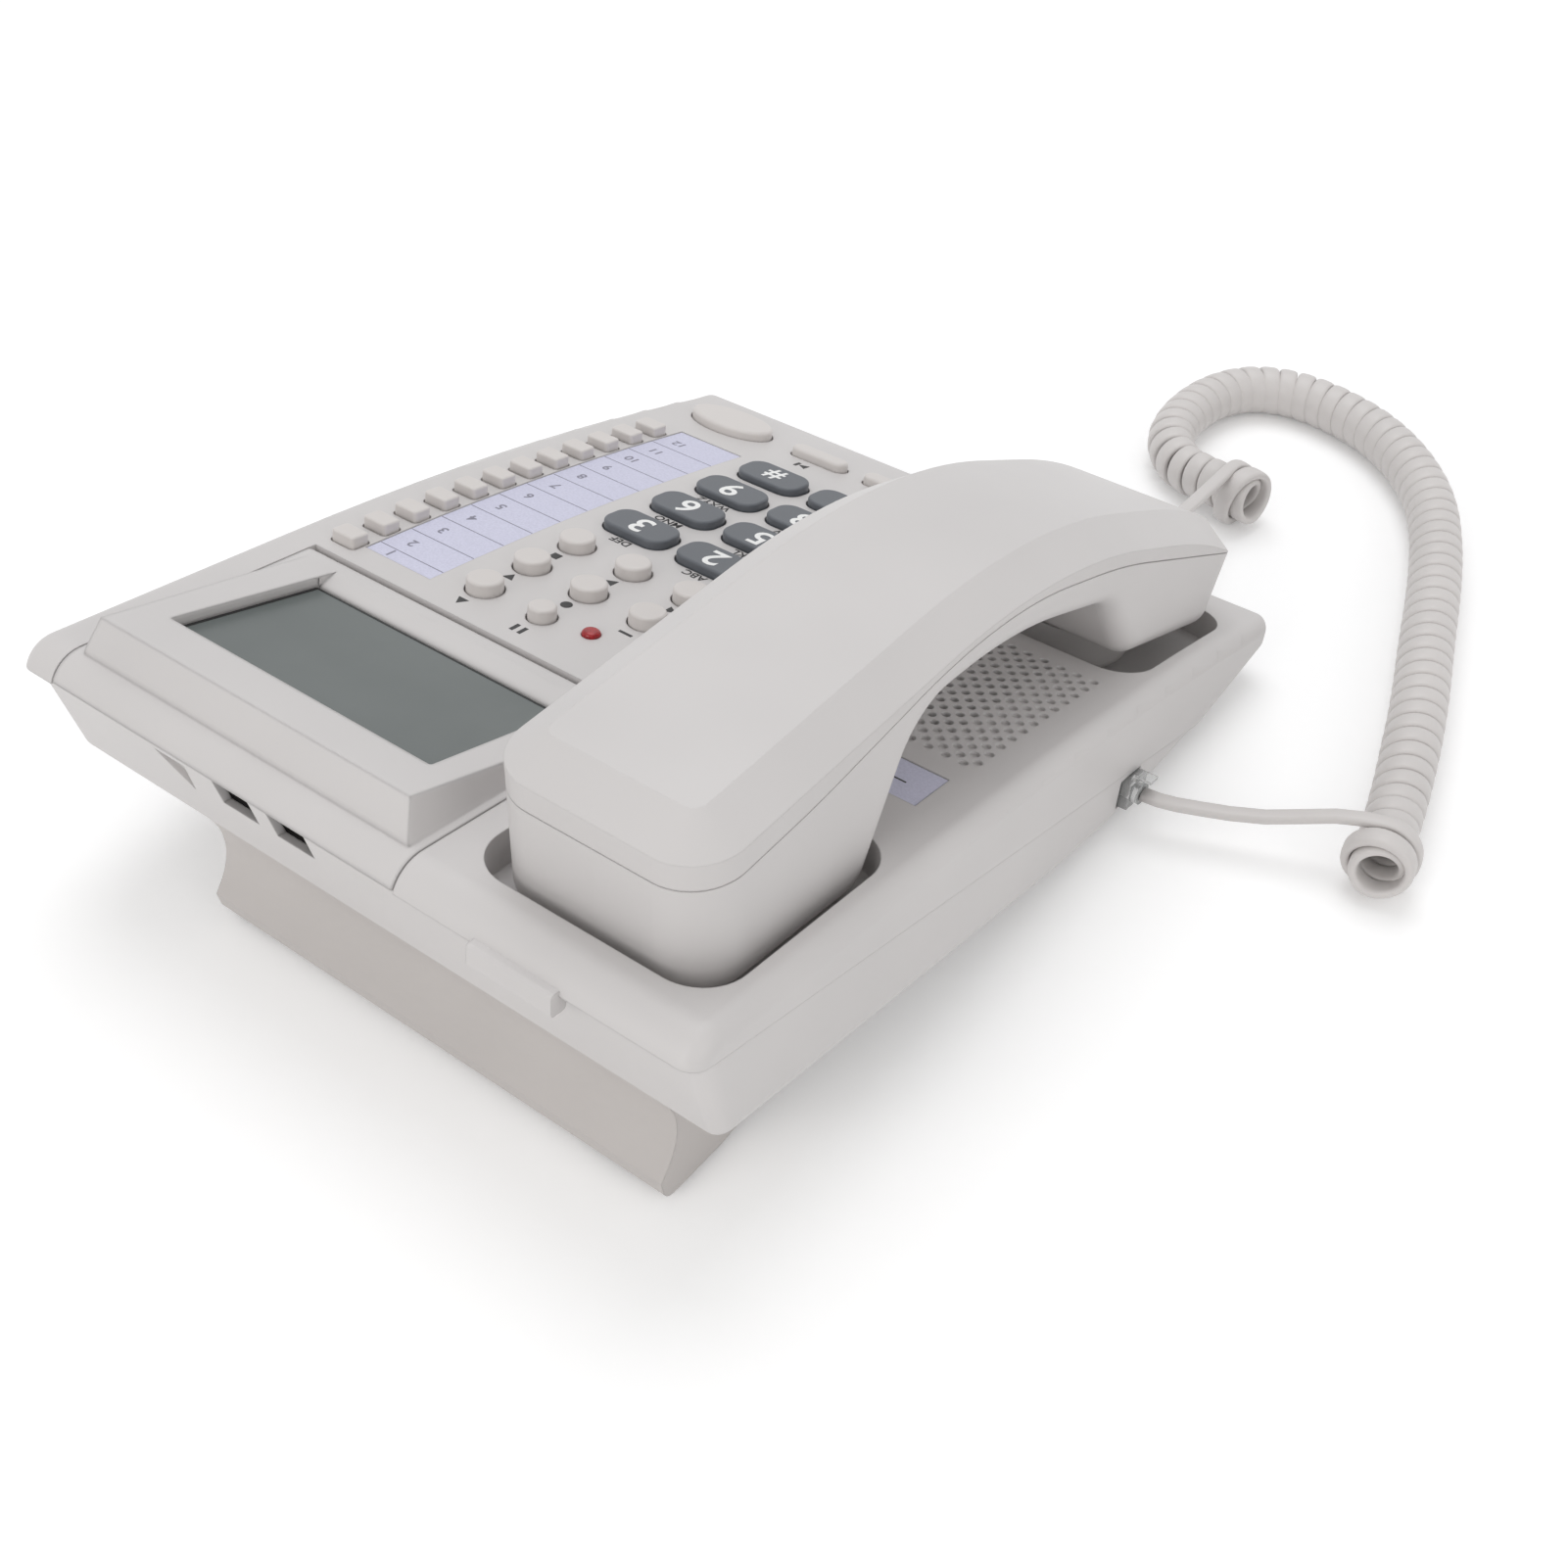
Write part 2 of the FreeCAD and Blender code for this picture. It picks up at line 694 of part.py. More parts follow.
def board_posts(body):
    """Posts that carry the main board, square to it, from the panel down to its face."""
    for x, y in BOARD_POSTS:
        spot = BOARD.inverse().multVec(Vector(x, y, crown(y) - WALL * 0.6))
        frame = BOARD.multiply(Placement(Vector(0, 0, -dim("board_depth")), Rotation()))
        post = sketch_on(body, "XY_Plane", ring(spot.x, spot.y, dim("post_radius")), frame)
        pad(body, post, f"board_depth + {spot.z}")


def speaker_ring(body):
    """Rib under the panel that locates the loudspeaker."""
    radius = dim("speaker_radius") + 0.2
    rib = ring(0, 0, radius) + ring(0, 0, radius + WALL * 0.8)
    frame = SPEAKER.multiply(Placement(Vector(dim("speaker_x"), 0, -WALL * 0.7), Rotation()))
    pad(body, sketch_on(body, "XY_Plane", rib, frame), "2 * case_wall", reverse=True)


def top_case():
    body = new_body("top_case")
    pad(body, side_sketch(body, top_outline()), "case_width", both=True)
    fillet(body, lambda edge: edge.BoundBox.YMax < 1e-3 and edge.BoundBox.XLength > 1, "nose_round")
    half = dim("case_width") / 2

    def outer(edge):
        return flat_in_x(edge, half) and not runs_between(edge, dim("nose_reach"), barrel_end())

    fillet(body, outer, "side_round")
    pocket(body, side_sketch(body, top_hollow()), "case_width - 2 * case_wall", both=True)
    well_tubs(body)
    screw_bosses(body)
    board_posts(body)
    speaker_ring(body)
    tab = rectangle(TAB["front"], TAB["low"], TAB["rear"], TAB["high"], 0.8)
    pad(body, side_sketch(body, tab, TAB["x"]), "20", both=True)
    well_openings(body)
    key_openings(body)
    paper_recesses(body)
    grille(body)
    keep(body)


def runs_between(edge, y0, y1):
    return near(edge.BoundBox.YMin, y0, 0.05) and near(edge.BoundBox.YMax, y1, 0.05)


# Lower moulding
def rear_wall(z):
    """Depth of the leaning rear wall at a height."""
    top = parting(dim("rear_wall_y"))
    lean = (dim("rear_wall_y") - dim("rear_foot_y")) / (top + dim("rear_foot_z"))
    return dim("rear_wall_y") + (z - top) * lean


def bottom_outline(inset):
    """Side view of the lower moulding, carried up past the parting line, inset by a wall."""
    low, front = -dim("belly_depth") + inset, 0.0 if inset == 0 else 42.0
    soft = 60.0 if inset == 0 else 0.0
    corner = 2.0 if inset == 0 else 0.0
    foot_z = -dim("rear_foot_z") + inset
    return rounded_polygon([
        (rear_wall(ABOVE) - inset, ABOVE),
        (front, ABOVE),
        (front, belly_slope(front) + inset),
        (dim("belly_front"), low, soft),
        (dim("belly_rear"), low, soft),
        (rear_wall(foot_z) - inset, foot_z, corner),
    ])


def belly_slope(y):
    """The rising front of the underside, carried on forward."""
    reach = dim("nose_reach")
    slope = (-dim("belly_depth") - parting(reach)) / (dim("belly_front") - reach)
    return parting(reach) + slope * (y - reach)


def bottom_case():
    body = new_body("bottom_case")
    pad(body, side_sketch(body, bottom_outline(0.0)), "case_width - 2 * seam_gap", both=True)
    half = dim("case_width") / 2 - dim("seam_gap")
    fillet(body, lambda edge: flat_in_x(edge, half) and edge.BoundBox.ZMin < ABOVE - 1, "side_round")
    inside = "case_width - 2 * seam_gap - 2 * case_wall"
    pocket(body, side_sketch(body, bottom_outline(WALL)), inside, both=True)
    seam = [(y, parting(y) - dim("seam_gap")) for y in (-10, 240)]
    above = lines([*seam, (240, 40), (-10, 40), seam[0]])
    pocket(body, side_sketch(body, above), "case_width * 1.2", both=True)
    stand_slot(body)
    screw_seats(body)
    jack_windows(body)
    cord_corner(body)
    keep(body)


def stand_middle():
    return (dim("stand_left") + dim("stand_right")) / 2


def stand_slot(body):
    """Walled slot in the underside that takes the stand's tongue."""
    front, rear = dim("tongue_front") - dim("tongue_play"), dim("tongue_rear") + dim("tongue_play")
    roof = -dim("tongue_top") + dim("tongue_play")
    inside = WALL / 4
    walls = lines([
        (front - WALL, belly(front - WALL) + inside), (front - WALL, roof + WALL), (rear + WALL, roof + WALL),
        (rear + WALL, belly(rear + WALL) + inside), (front - WALL, belly(front - WALL) + inside),
    ])
    pad(body, side_sketch(body, walls, stand_middle()), "stand_right - stand_left + 2 * case_wall", both=True)
    slot = rectangle(front, -60, rear, roof)
    width = "stand_right - stand_left + 2 * tongue_play"
    pocket(body, side_sketch(body, slot, stand_middle()), width, both=True)


CORD_CORNER = ((52.2, -10.4), (43.2, -10.4), (44.0, -17.8), (52.2, -10.4))


def cord_corner(body):
    """Shallow three-cornered hollow in the rear wall beside the sockets."""
    depth = WALL * 0.7
    low, high = CORD_CORNER[2][1], CORD_CORNER[0][1]
    lean = math.degrees(math.atan2(rear_wall(high) - rear_wall(low), high - low))
    hinge = Placement(Vector(0, high, -rear_wall(high) + depth), Rotation(Vector(1, 0, 0), -lean))
    corners = lines([(x, (z - high) / math.cos(math.radians(lean))) for x, z in CORD_CORNER])
    pocket(body, sketch_on(body, "XZ_Plane", corners, hinge), "case_wall * 3")


def screw_seats(body):
    for x, y in SCREW_PLACES:
        seat = plan_sketch(body, ring(x, y, dim("boss_radius") + 0.4), belly(y) + WALL * 0.5)
        pad(body, seat, "case_wall * 1.5")
        hole = plan_sketch(body, ring(x, y, dim("screw_radius") + 0.3), belly(y) - WALL)
        pocket(body, hole, "case_wall * 4", reverse=True)
        sink = plan_sketch(body, ring(x, y, dim("screw_head") + 0.3), belly(y) - WALL)
        pocket(body, sink, "case_wall * 2", reverse=True)


def rear_jacks():
    return [dim("line_jack_x"), dim("line_jack_x") - dim("jack_pitch")]


def jack_windows(body):
    half = dim("socket_height") / 2
    rear = rectangle(200, dim("line_jack_z") - half, 230, dim("line_jack_z") + half)
    for x in rear_jacks():
        pocket(body, side_sketch(body, rear, x), "socket_width", both=True)
    side = socket_outline(dim("plug_width") + 1.6, dim("plug_height") + 0.8)
    pocket(body, side_sketch(body, side, -dim("case_width") / 2 - 1), "2 * case_wall", reverse=True)


def socket_outline(width, height):
    return oblong(dim("cord_jack_y"), dim("cord_jack_z"), width, height, 0.4)


def stand():
    """Wedge foot whose tongue clips into the slot, and that carries the rear of the case."""
    body = new_body("stand")
    foot = dim("stand_pad")
    gap = dim("seam_gap")
    front, rear, top = dim("tongue_front"), dim("tongue_rear"), -dim("tongue_top")
    outline = rounded_polygon([
        (212.6, belly(212.6) - gap),
        (rear, belly(rear) - gap),
        (rear, top),
        (front, top),
        (front, belly(front) - gap),
        (168.0, belly(168.0) - gap),
        (187.5, -53.5, 6.0),
        (193.0, table(193.0) + foot),
        (209.5, table(209.5) + foot, 3.0),
        (211.3, -52.0),
        (205.0, -41.0, 15.0),
    ])
    pad(body, side_sketch(body, outline, stand_middle()), "stand_right - stand_left", both=True)
    hollow = lines([
        (184.5, -34.1), (205.3, -32.8), (202.2, -41.2), (208.0, -52.0), (206.5, -54.2), (194.5, -52.5),
        (191.0, -50.2), (184.0, -58.0), (160.0, -38.0), (184.5, -34.1),
    ])
    inside = "stand_right - stand_left - 2 * stand_wall"
    pocket(body, side_sketch(body, hollow, stand_middle()), inside, both=True)
    keep(body)


def foot_pad(front, rear, front_top, rear_top):
    """Side view of a pad that reaches down to the table."""
    return lines([
        (front, front_top), (rear, rear_top), (rear, table(rear)), (front, table(front)), (front, front_top),
    ])


def rubber_feet():
    body = new_body("rubber_feet")
    under, foot = -dim("belly_depth"), dim("stand_pad")
    for x in (-62.0, 62.0):
        pad(body, side_sketch(body, foot_pad(78.0, 92.0, under, under), x), "14", both=True)
    rear = foot_pad(201.5, 207.5, table(201.5) + foot, table(207.5) + foot)
    for x in (-60.0, 42.0):
        pad(body, side_sketch(body, rear, x), "12", both=True)
    keep(body)


def case_screws():
    body = new_body("case_screws")
    for x, y in SCREW_PLACES:
        under_head = belly(y) + WALL
        head = plan_sketch(body, ring(x, y, dim("screw_head")), under_head)
        pad(body, head, "screw_head * 0.6", reverse=True)
        shank = plan_sketch(body, ring(x, y, dim("screw_radius")), under_head)
        pad(body, shank, "screw_radius * 8")
    keep(body)


# Pieces inside the case
def board_frame(drop):
    return BOARD.multiply(Placement(Vector(0, 0, -drop), Rotation()))


def board_edges():
    ends = [BOARD.inverse().multVec(Vector(0, y, crown(y))).y for y in (10.0, 151.0)]
    return rectangle(-22.3, ends[0], 79.3, ends[1], 1.0)


def main_board():
    body = new_body("main_board")
    face = sketch_on(body, "XY_Plane", board_edges(), board_frame(dim("board_depth")))
    pad(body, face, "board_thick", reverse=True)
    keep(body)


def key_mat():
    body = new_body("key_mat")
    holes = []
    for x, y in BOARD_POSTS:
        spot = BOARD.inverse().multVec(Vector(x, y, crown(y)))
        holes += ring(spot.x, spot.y, dim("post_radius") + 0.4)
    face = sketch_on(body, "XY_Plane", board_edges() + holes, board_frame(dim("board_depth")))
    pad(body, face, "mat_thick")
    keep(body)


def loudspeaker():
    body = new_body("loudspeaker")
    frame = SPEAKER.multiply(Placement(Vector(dim("speaker_x"), 0, -WALL - 0.4), Rotation()))
    rim = sketch_on(body, "XY_Plane", ring(0, 0, dim("speaker_radius")), frame)
    pad(body, rim, "2 * case_wall", reverse=True)
    back = SPEAKER.multiply(Placement(Vector(dim("speaker_x"), 0, -3 * WALL - 0.4), Rotation()))
    magnet = sketch_on(body, "XY_Plane", ring(0, 0, dim("speaker_radius") / 2), back)
    pad(body, magnet, "3 * case_wall", reverse=True)
    keep(body)


def modular_jacks():
    """Two sockets behind the rear wall and one behind the left wall."""
    body = new_body("modular_jacks")
    half = dim("socket_height") / 2 + 0.8
    top, low = dim("line_jack_z") + half, dim("line_jack_z") - half
    inner = WALL * 1.1
    faces = [(rear_wall(z) - inner, z) for z in (low, top)]
    shell = lines([(206, low), *faces, (206, top), (206, low)])
    inside = rectangle(207.5, dim("line_jack_z") - half + 0.8, 230, dim("line_jack_z") + half - 0.8)
    for x in rear_jacks():
        pad(body, side_sketch(body, shell, x), "socket_width + 2.4", both=True)
        pocket(body, side_sketch(body, inside, x), "socket_width", both=True)
    wall = -dim("case_width") / 2 + dim("seam_gap") + WALL
    side = side_sketch(body, socket_outline(dim("plug_width") + 4.0, dim("plug_height") + 1.4), wall)
    pad(body, side, "jack_depth")
    hole = side_sketch(body, socket_outline(dim("plug_width") + 0.8, dim("plug_height") + 0.6), wall - 1)
    pocket(body, hole, "jack_depth", reverse=True)
    keep(body)


def paper_labels():
    body = new_body("paper_labels")
    upper, lower = dim("paper_recess") - dim("paper_thick"), dim("paper_recess")
    card = crown_band(dim("card_front"), dim("card_rear"), upper, lower)
    pad(body, side_sketch(body, card, dim("card_x")), "card_width", both=True)
    label = crown_band(dim("label_front"), dim("label_rear"), upper, lower)
    pad(body, side_sketch(body, label, dim("well_x")), "label_width", both=True)
    keep(body)


def ring_lamp():
    body = new_body("ring_lamp")
    pad(body, bound_circle(body, "lamp_radius", -dim("key_drop")), "key_drop + lamp_radius * 0.5")
    fillet(body, level_top(dim("lamp_radius") * 0.5), "lamp_radius * 0.4")
    keep(body, key_frame(DECK, dim("lamp_x"), dim("lamp_y")))


def hook_plunger():
    """Push rod under the ear end of the handset, at rest with its top level with the well's floor."""
    body = new_body("hook_plunger")
    middle = Placement(Vector(dim("hook_x"), dim("hook_y"), -dim("ear_well_floor")), Rotation())
    length = "3 * case_wall + hook_travel"
    foot = -evaluate(length)
    pad(body, bound_rectangle(body, "hook_width", "hook_depth", foot), length)
    fillet(body, upright, "hook_depth * 0.16")
    fillet(body, level_top(0.0), "hook_depth * 0.12")
    flange = bound_rectangle(body, "hook_width + case_wall", "hook_depth + case_wall", foot)
    pad(body, flange, "case_wall * 0.6")
    keep(body, middle)


# Display: a wedge with a window, on a barrel-backed plate that tilts about its front edge
def wedge_top(y, drop=0.0):
    start = dim("hinge_y") + 0.9
    return (y - start) * dim("wedge_height") / (dim("wedge_rear") - start) - drop


def wedge_angle():
    return math.atan(dim("wedge_height") / (dim("wedge_rear") - dim("hinge_y") - 0.9))


DISPLAY_SPAN = "display_right - display_left"
WEDGE_SPAN = "wedge_right - wedge_left"


def display_base():
    hinge, radius, barrel = dim("hinge_y"), dim("hinge_radius"), dim("barrel_radius")
    turn = dim("case_depth") - barrel
    low = -2 * radius
    swing = math.acos((barrel + low) / barrel)
    end = Vector(turn + barrel * math.sin(swing), low, 0)
    middle = Vector(turn + barrel * math.sin(swing / 2), barrel * math.cos(swing / 2) - barrel, 0)
    front = Part.Arc(Vector(hinge, low, 0), Vector(hinge - radius, -radius, 0), Vector(hinge, 0, 0))
    rear = Part.Arc(Vector(turn, 0, 0), middle, end)
    return [front, rear, *lines([(hinge, 0), (turn, 0)]), *lines([(end.x, low), (hinge, low)])]


def window_cuts(body):
    """The opening over the panel, square to the wedge, and the wide bevel in front of it."""
    lean = Rotation(Vector(1, 0, 0), math.degrees(wedge_angle()))
    tilt = Placement(Vector(0, dim("hinge_y") + 0.9, 0), lean)
    front, rear, bevel = [
        tilt.inverse().multVec(Vector(0, dim(name), wedge_top(dim(name)))).y
        for name in ("window_front", "window_rear", "window_bevel")
    ]
    opening = rectangle(dim("window_left"), front, dim("window_right"), rear, 0.6)
    lifted = tilt.multiply(Placement(Vector(0, 0, 2), Rotation()))
    pocket(body, sketch_on(body, "XY_Plane", opening, lifted), "window_depth + 3")
    corners = ((bevel, 0.0), (front, -dim("window_depth")), (front, 0.4))
    slope = [tilt.multVec(Vector(0, y, z)) for y, z in corners]
    points = [(spot.y, spot.z) for spot in slope]
    outline = lines(points + points[:1])
    middle = (dim("window_left") + dim("window_right")) / 2
    pocket(body, side_sketch(body, outline, middle), "window_right - window_left", both=True)


def display_hollow(body):
    """Space for the panel under the wedge, and the rebate for the back cover."""
    drop = dim("window_depth") / math.cos(wedge_angle())
    room = lines([
        (162.6, -8.0), (162.6, wedge_top(162.6, drop)), (211.0, wedge_top(211.0, drop)),
        (213.6, -2.0), (213.6, -8.0), (162.6, -8.0),
    ])
    middle = (dim("wedge_left") + dim("wedge_right")) / 2
    pocket(body, side_sketch(body, room, middle), f"{WEDGE_SPAN} - 4 * window_depth", both=True)
    low = 2 * dim("hinge_radius")
    rebate = rectangle(161.2, -low - 2, 215.5, -low + dim("cover_thick"))
    pocket(body, side_sketch(body, rebate, middle), f"{WEDGE_SPAN} - 2 * window_depth", both=True)


def display_housing():
    body = new_body("display_housing")
    pad(body, side_sketch(body, display_base(), display_middle()), DISPLAY_SPAN, both=True)
    pin = ring(dim("hinge_y"), -dim("hinge_radius"), dim("hinge_pin"))
    pad(body, side_sketch(body, pin, display_middle()), f"{DISPLAY_SPAN} + 2 * hinge_reach", both=True)
    start = dim("hinge_y") + 0.9
    rear, foot = dim("wedge_rear"), dim("wedge_foot")
    wedge = lines([(start, 0), (rear, wedge_top(rear)), (foot, 0.9), (foot, -1), (start, -1), (start, 0)])
    middle = (dim("wedge_left") + dim("wedge_right")) / 2
    pad(body, side_sketch(body, wedge, middle), WEDGE_SPAN, both=True)
    run = 10 * math.tan(math.radians(dim("wedge_lean")))
    for x, way in ((dim("wedge_left"), 1), (dim("wedge_right"), -1)):
        end = lines([(x, 0), (x + way * run, 10), (x - way, 10), (x - way, 0), (x, 0)])
        pocket(body, sketch_on(body, "XZ_Plane", end), "case_depth * 2.2", both=True)
    window_cuts(body)
    display_hollow(body)
    keep(body)


def display_back():
    body = new_body("display_back")
    low = 2 * dim("hinge_radius")
    plate = rectangle(161.35, -low, 215.35, -low + dim("cover_thick"))
    middle = (dim("wedge_left") + dim("wedge_right")) / 2
    pad(body, side_sketch(body, plate, middle), f"{WEDGE_SPAN} - 2 * window_depth - 0.3", both=True)
    keep(body)


def lcd_panel():
    body = new_body("lcd_panel")
    drop = dim("window_depth") / math.cos(wedge_angle())
    front, rear, under = 164.4, 207.0, drop + 1.6
    slab = lines([
        (front, wedge_top(front, drop)), (rear, wedge_top(rear, drop)), (rear, wedge_top(rear, under)),
        (front, wedge_top(front, under)), (front, wedge_top(front, drop)),
    ])
    middle = (dim("window_left") + dim("window_right")) / 2
    width = "window_right - window_left + 3 * window_depth * 0.7"
    pad(body, side_sketch(body, slab, middle), width, both=True)
    keep(body)


# Handset
def handset_outline():
    """Side view of the whole handset, from the rear top forward and back along the underside."""
    return rounded_polygon([
        (213.8, 27.8),
        (105.0, 45.2, 170.0),
        (30.0, 21.5, 200.0),
        (6.5, 9.0),
        (15.0, -12.0),
        (62.0, -1.8, 9.0),
        (76.0, 17.5, 14.0),
        (118.0, 27.5, 120.0),
        (150.0, 25.0, 14.0),
        (163.0, -8.0, 8.0),
        (210.5, -8.0),
    ])


def handset_seam(drop, beyond):
    """Everything on one side of the seam between the two shells."""
    return rounded_polygon([
        (240.0, 12.4 - drop),
        (183.0, 22.3 - drop, 200.0),
        (126.0, 37.0 - drop, 120.0),
        (75.0, 27.2 - drop, 200.0),
        (-20.0, -4.0 - drop),
        (-20.0, beyond),
        (240.0, beyond),
    ])


def handset_block(body):
    """The outer form that both shells are cut from."""
    pad(body, side_sketch(body, handset_outline(), dim("well_x")), "handset_width", both=True)
    fillet(body, end_corner, "handset_corner")
    fillet(body, under_edge, "handset_round")
    feature = edge_feature("Chamfer", body, top_edge)
    feature.ChamferType = "Two distances"
    feature.setExpression("Size", cell("handset_band_in"))
    feature.setExpression("Size2", cell("handset_band_down"))
    doc.recompute()


def edge_middle(edge):
    return edge.valueAt((edge.FirstParameter + edge.LastParameter) / 2)


def inner_crease(edge):
    """Edges that run across the width between the two ends."""
    return edge.BoundBox.XLength > 30 and 30 < edge_middle(edge).y < 200


def end_corner(edge):
    """The four upright corners."""
    box = edge.BoundBox
    upright_edge = box.ZLength > 20 and box.XLength < 1e-3
    return upright_edge and (box.YMax < 30 or box.YMin > 200)


def under_edge(edge):
    """Edges round the underside, up the two inner walls and under the handle."""
    spot = edge_middle(edge)
    inside = abs(spot.x - dim("well_x")) < dim("handset_width") / 2 - 0.1
    if inner_crease(edge) or (inside and edge.BoundBox.XLength < 1e-3):
        return False
    if spot.y < 30:
        return spot.z < -10
    if spot.y > 200:
        return spot.z < 0
    return spot.z < (12 + 0.175 * (spot.y - 30) if spot.y < 90 else 29.0)


def top_edge(edge):
    """Edges round the top, ends included."""
    spot = edge_middle(edge)
    if inner_crease(edge) or end_corner(edge):
        return False
    rising, falling = 9.0 + (spot.y - 6.5) * 0.531, 45.2 - (spot.y - 105) * 0.16
    return spot.z > min(rising, falling, 45.2) - 8


HANDSET_SCREWS = (97.0, 137.0)
CEILING = 3.0


def handset_top():
    body = new_body("handset_top")
    handset_block(body)
    pocket(body, side_sketch(body, handset_seam(0.0, -60.0), dim("well_x")), "handset_width * 2", both=True)
    room = rounded_polygon([
        (206.0, 28.8 - CEILING), (105.0, 45.2 - CEILING, 170.0), (30.0, 21.5 - CEILING, 120.0),
        (16.0, 14.0 - CEILING), (16.0, -20.0), (206.0, -20.0),
    ])
    pocket(body, side_sketch(body, room, dim("well_x")), "handset_width - 2 * handset_band_down", both=True)
    for y in HANDSET_SCREWS:
        foot = handle_floor(y) + 1.2
        boss = plan_sketch(body, ring(dim("well_x"), y, dim("boss_radius")), foot)
        pad(body, boss, f"{38.0 - foot}")
        hole = plan_sketch(body, ring(dim("well_x"), y, dim("screw_radius")), foot - 1)
        pocket(body, hole, "screw_radius * 6", reverse=True)
    keep(body)


def handle_floor(y):
    """Inside floor of the handle in the lower shell."""
    if y > 118.0:
        return 29.9 - (y - 118.0) * 0.0538
    return 29.9 - (118.0 - y) * 0.238


def handset_bottom():
    body = new_body("handset_bottom")
    handset_block(body)
    gap = dim("seam_gap")
    pocket(body, side_sketch(body, handset_seam(gap, 80.0), dim("well_x")), "handset_width * 2", both=True)
    room = lines([
        (205.0, -5.8), (166.6, -5.8), (153.3, 28.0), (118.0, 29.9), (78.0, 20.4), (74.0, 19.0), (57.0, 0.4),
        (36.0, -4.5), (31.5, -6.9), (17.4, -8.4), (16.0, 4.0), (16.0, 70.0), (205.0, 70.0), (205.0, -5.8),
    ])
    pocket(body, side_sketch(body, room, dim("well_x")), "handset_width - 2.8 * handset_wall", both=True)
    dome = ring(dim("well_x"), dim("mouthpiece_y"), dim("mouthpiece_radius"))
    pad(body, plan_sketch(body, dome, dim("mouthpiece_low")), "mouthpiece_height")
    fillet(body, level_top(dim("mouthpiece_low")), "handset_round * 0.5")
    sound_holes(body)
    for y in HANDSET_SCREWS:
        through = plan_sketch(body, ring(dim("well_x"), y, dim("screw_radius") + 0.2), handle_floor(y) + 2)
        pocket(body, through, "case_wall * 4")
        sink = plan_sketch(body, ring(dim("well_x"), y, dim("screw_head") + 0.3), handle_floor(y) - 1.2)
        pocket(body, sink, "case_wall * 3")
    width, height = dim("plug_width") + 1.0, dim("plug_height") + 1.0
    entry = oblong(dim("well_x"), dim("handset_plug_z"), width, height, 0.4)
    pocket(body, sketch_on(body, "XZ_Plane", entry), "40", both=True)
    keep(body)


def sound_holes(body):
    """Holes over the receiver and the microphone."""
    ear = ring(dim("well_x"), dim("receiver_y"), 1.2)
    for i in range(6):
        angle = math.radians(60 * i)
        ear += ring(dim("well_x") + 6 * math.sin(angle), dim("receiver_y") + 6 * math.cos(angle), 1.2)
    pocket(body, plan_sketch(body, ear, -30.0), "26", reverse=True)
    mouth = []
    for x in (-4.0, 0.0, 4.0):
        mouth += oblong(dim("well_x") + x, dim("microphone_y"), 1.4, 5.0, 0.6)
    pocket(body, plan_sketch(body, mouth, -30.0), "30", reverse=True)


def round_piece(label, y, low, radius, height):
    """A capsule standing in the handset on its axis."""
    piece = doc.addObject("Part::Cylinder", label)
    piece.Label = label
    piece.setExpression("Radius", cell(radius))
    piece.setExpression("Height", cell(height))
    keep(piece, Placement(Vector(dim("well_x"), y, low), Rotation()))


def box_piece(label, corner, sizes):
    piece = doc.addObject("Part::Box", label)
    piece.Label = label
    for side, formula in zip(("Length", "Width", "Height"), sizes):
        piece.setExpression(side, cell(formula))
    keep(piece, Placement(Vector(*corner), Rotation()))


def handset_insides():
    round_piece("receiver", dim("receiver_y"), -5.7, "receiver_radius", "receiver_height")
    round_piece("microphone", dim("microphone_y"), -1.4, "microphone_radius", "microphone_radius * 1.2")
    corner = (dim("well_x") - dim("weight_width") / 2, 104.0, 30.0)
    box_piece("handset_weight", corner, ("weight_width", "weight_length", "weight_height"))


def handset_screws():
    body = new_body("handset_screws")
    for y in HANDSET_SCREWS:
        seat = handle_floor(y) - 1.2
        head = plan_sketch(body, ring(dim("well_x"), y, dim("screw_head")), seat)
        pad(body, head, "screw_head * 0.4", reverse=True)
        shank = plan_sketch(body, ring(dim("well_x"), y, dim("screw_radius") - 0.1), seat)
        pad(body, shank, "screw_radius * 5")
    keep(body)


def plug_block(label, frame):
    """A modular plug along +z: body, latch and a tapered lead boss behind it."""
    body = new_body(label)
    pad(body, bound_rectangle(body, "plug_width", "plug_height", 0.0), "plug_length")
    pad(body, bound_circle(body, "plug_height * 0.4", -dim("plug_boss")), "plug_boss")
    reach = dim("plug_height") / 2
    latch = lines([
        (-reach + 0.3, 1.2), (-reach, 1.2), (-reach - 1.6, 0.8), (-reach - 1.6, -3.5),
        (-reach - 0.9, -3.5), (-reach - 0.9, 0.1), (-reach + 0.3, 0.1), (-reach + 0.3, 1.2),
    ])
    pad(body, side_sketch(body, latch), "plug_width * 0.45", both=True)
    keep(body, frame)


def handset_socket():
    body = new_body("handset_socket")
    x, z, width, height = [dim(name) for name in ("well_x", "handset_plug_z", "plug_width", "plug_height")]
    flat = Placement(Vector(0, 0, -18.4), Rotation())
    outer = oblong(x, z, width + 4, height + 3, 0.6)
    pad(body, sketch_on(body, "XZ_Plane", outer, flat), "11", reverse=True)
    inner = oblong(x, z, width + 0.8, height + 0.6, 0.4)
    pocket(body, sketch_on(body, "XZ_Plane", inner, flat), "9")
    keep(body)


def base_plug_frame():
    """Plug in the left wall: its z axis points into the case along +x."""
    spot = Vector(-dim("case_width") / 2 - 2.0, dim("cord_jack_y"), dim("cord_jack_z"))
    return Placement(spot, Rotation(Vector(0, -1, 0), Vector(0, 0, 1), Vector(1, 0, 0), "ZXY"))


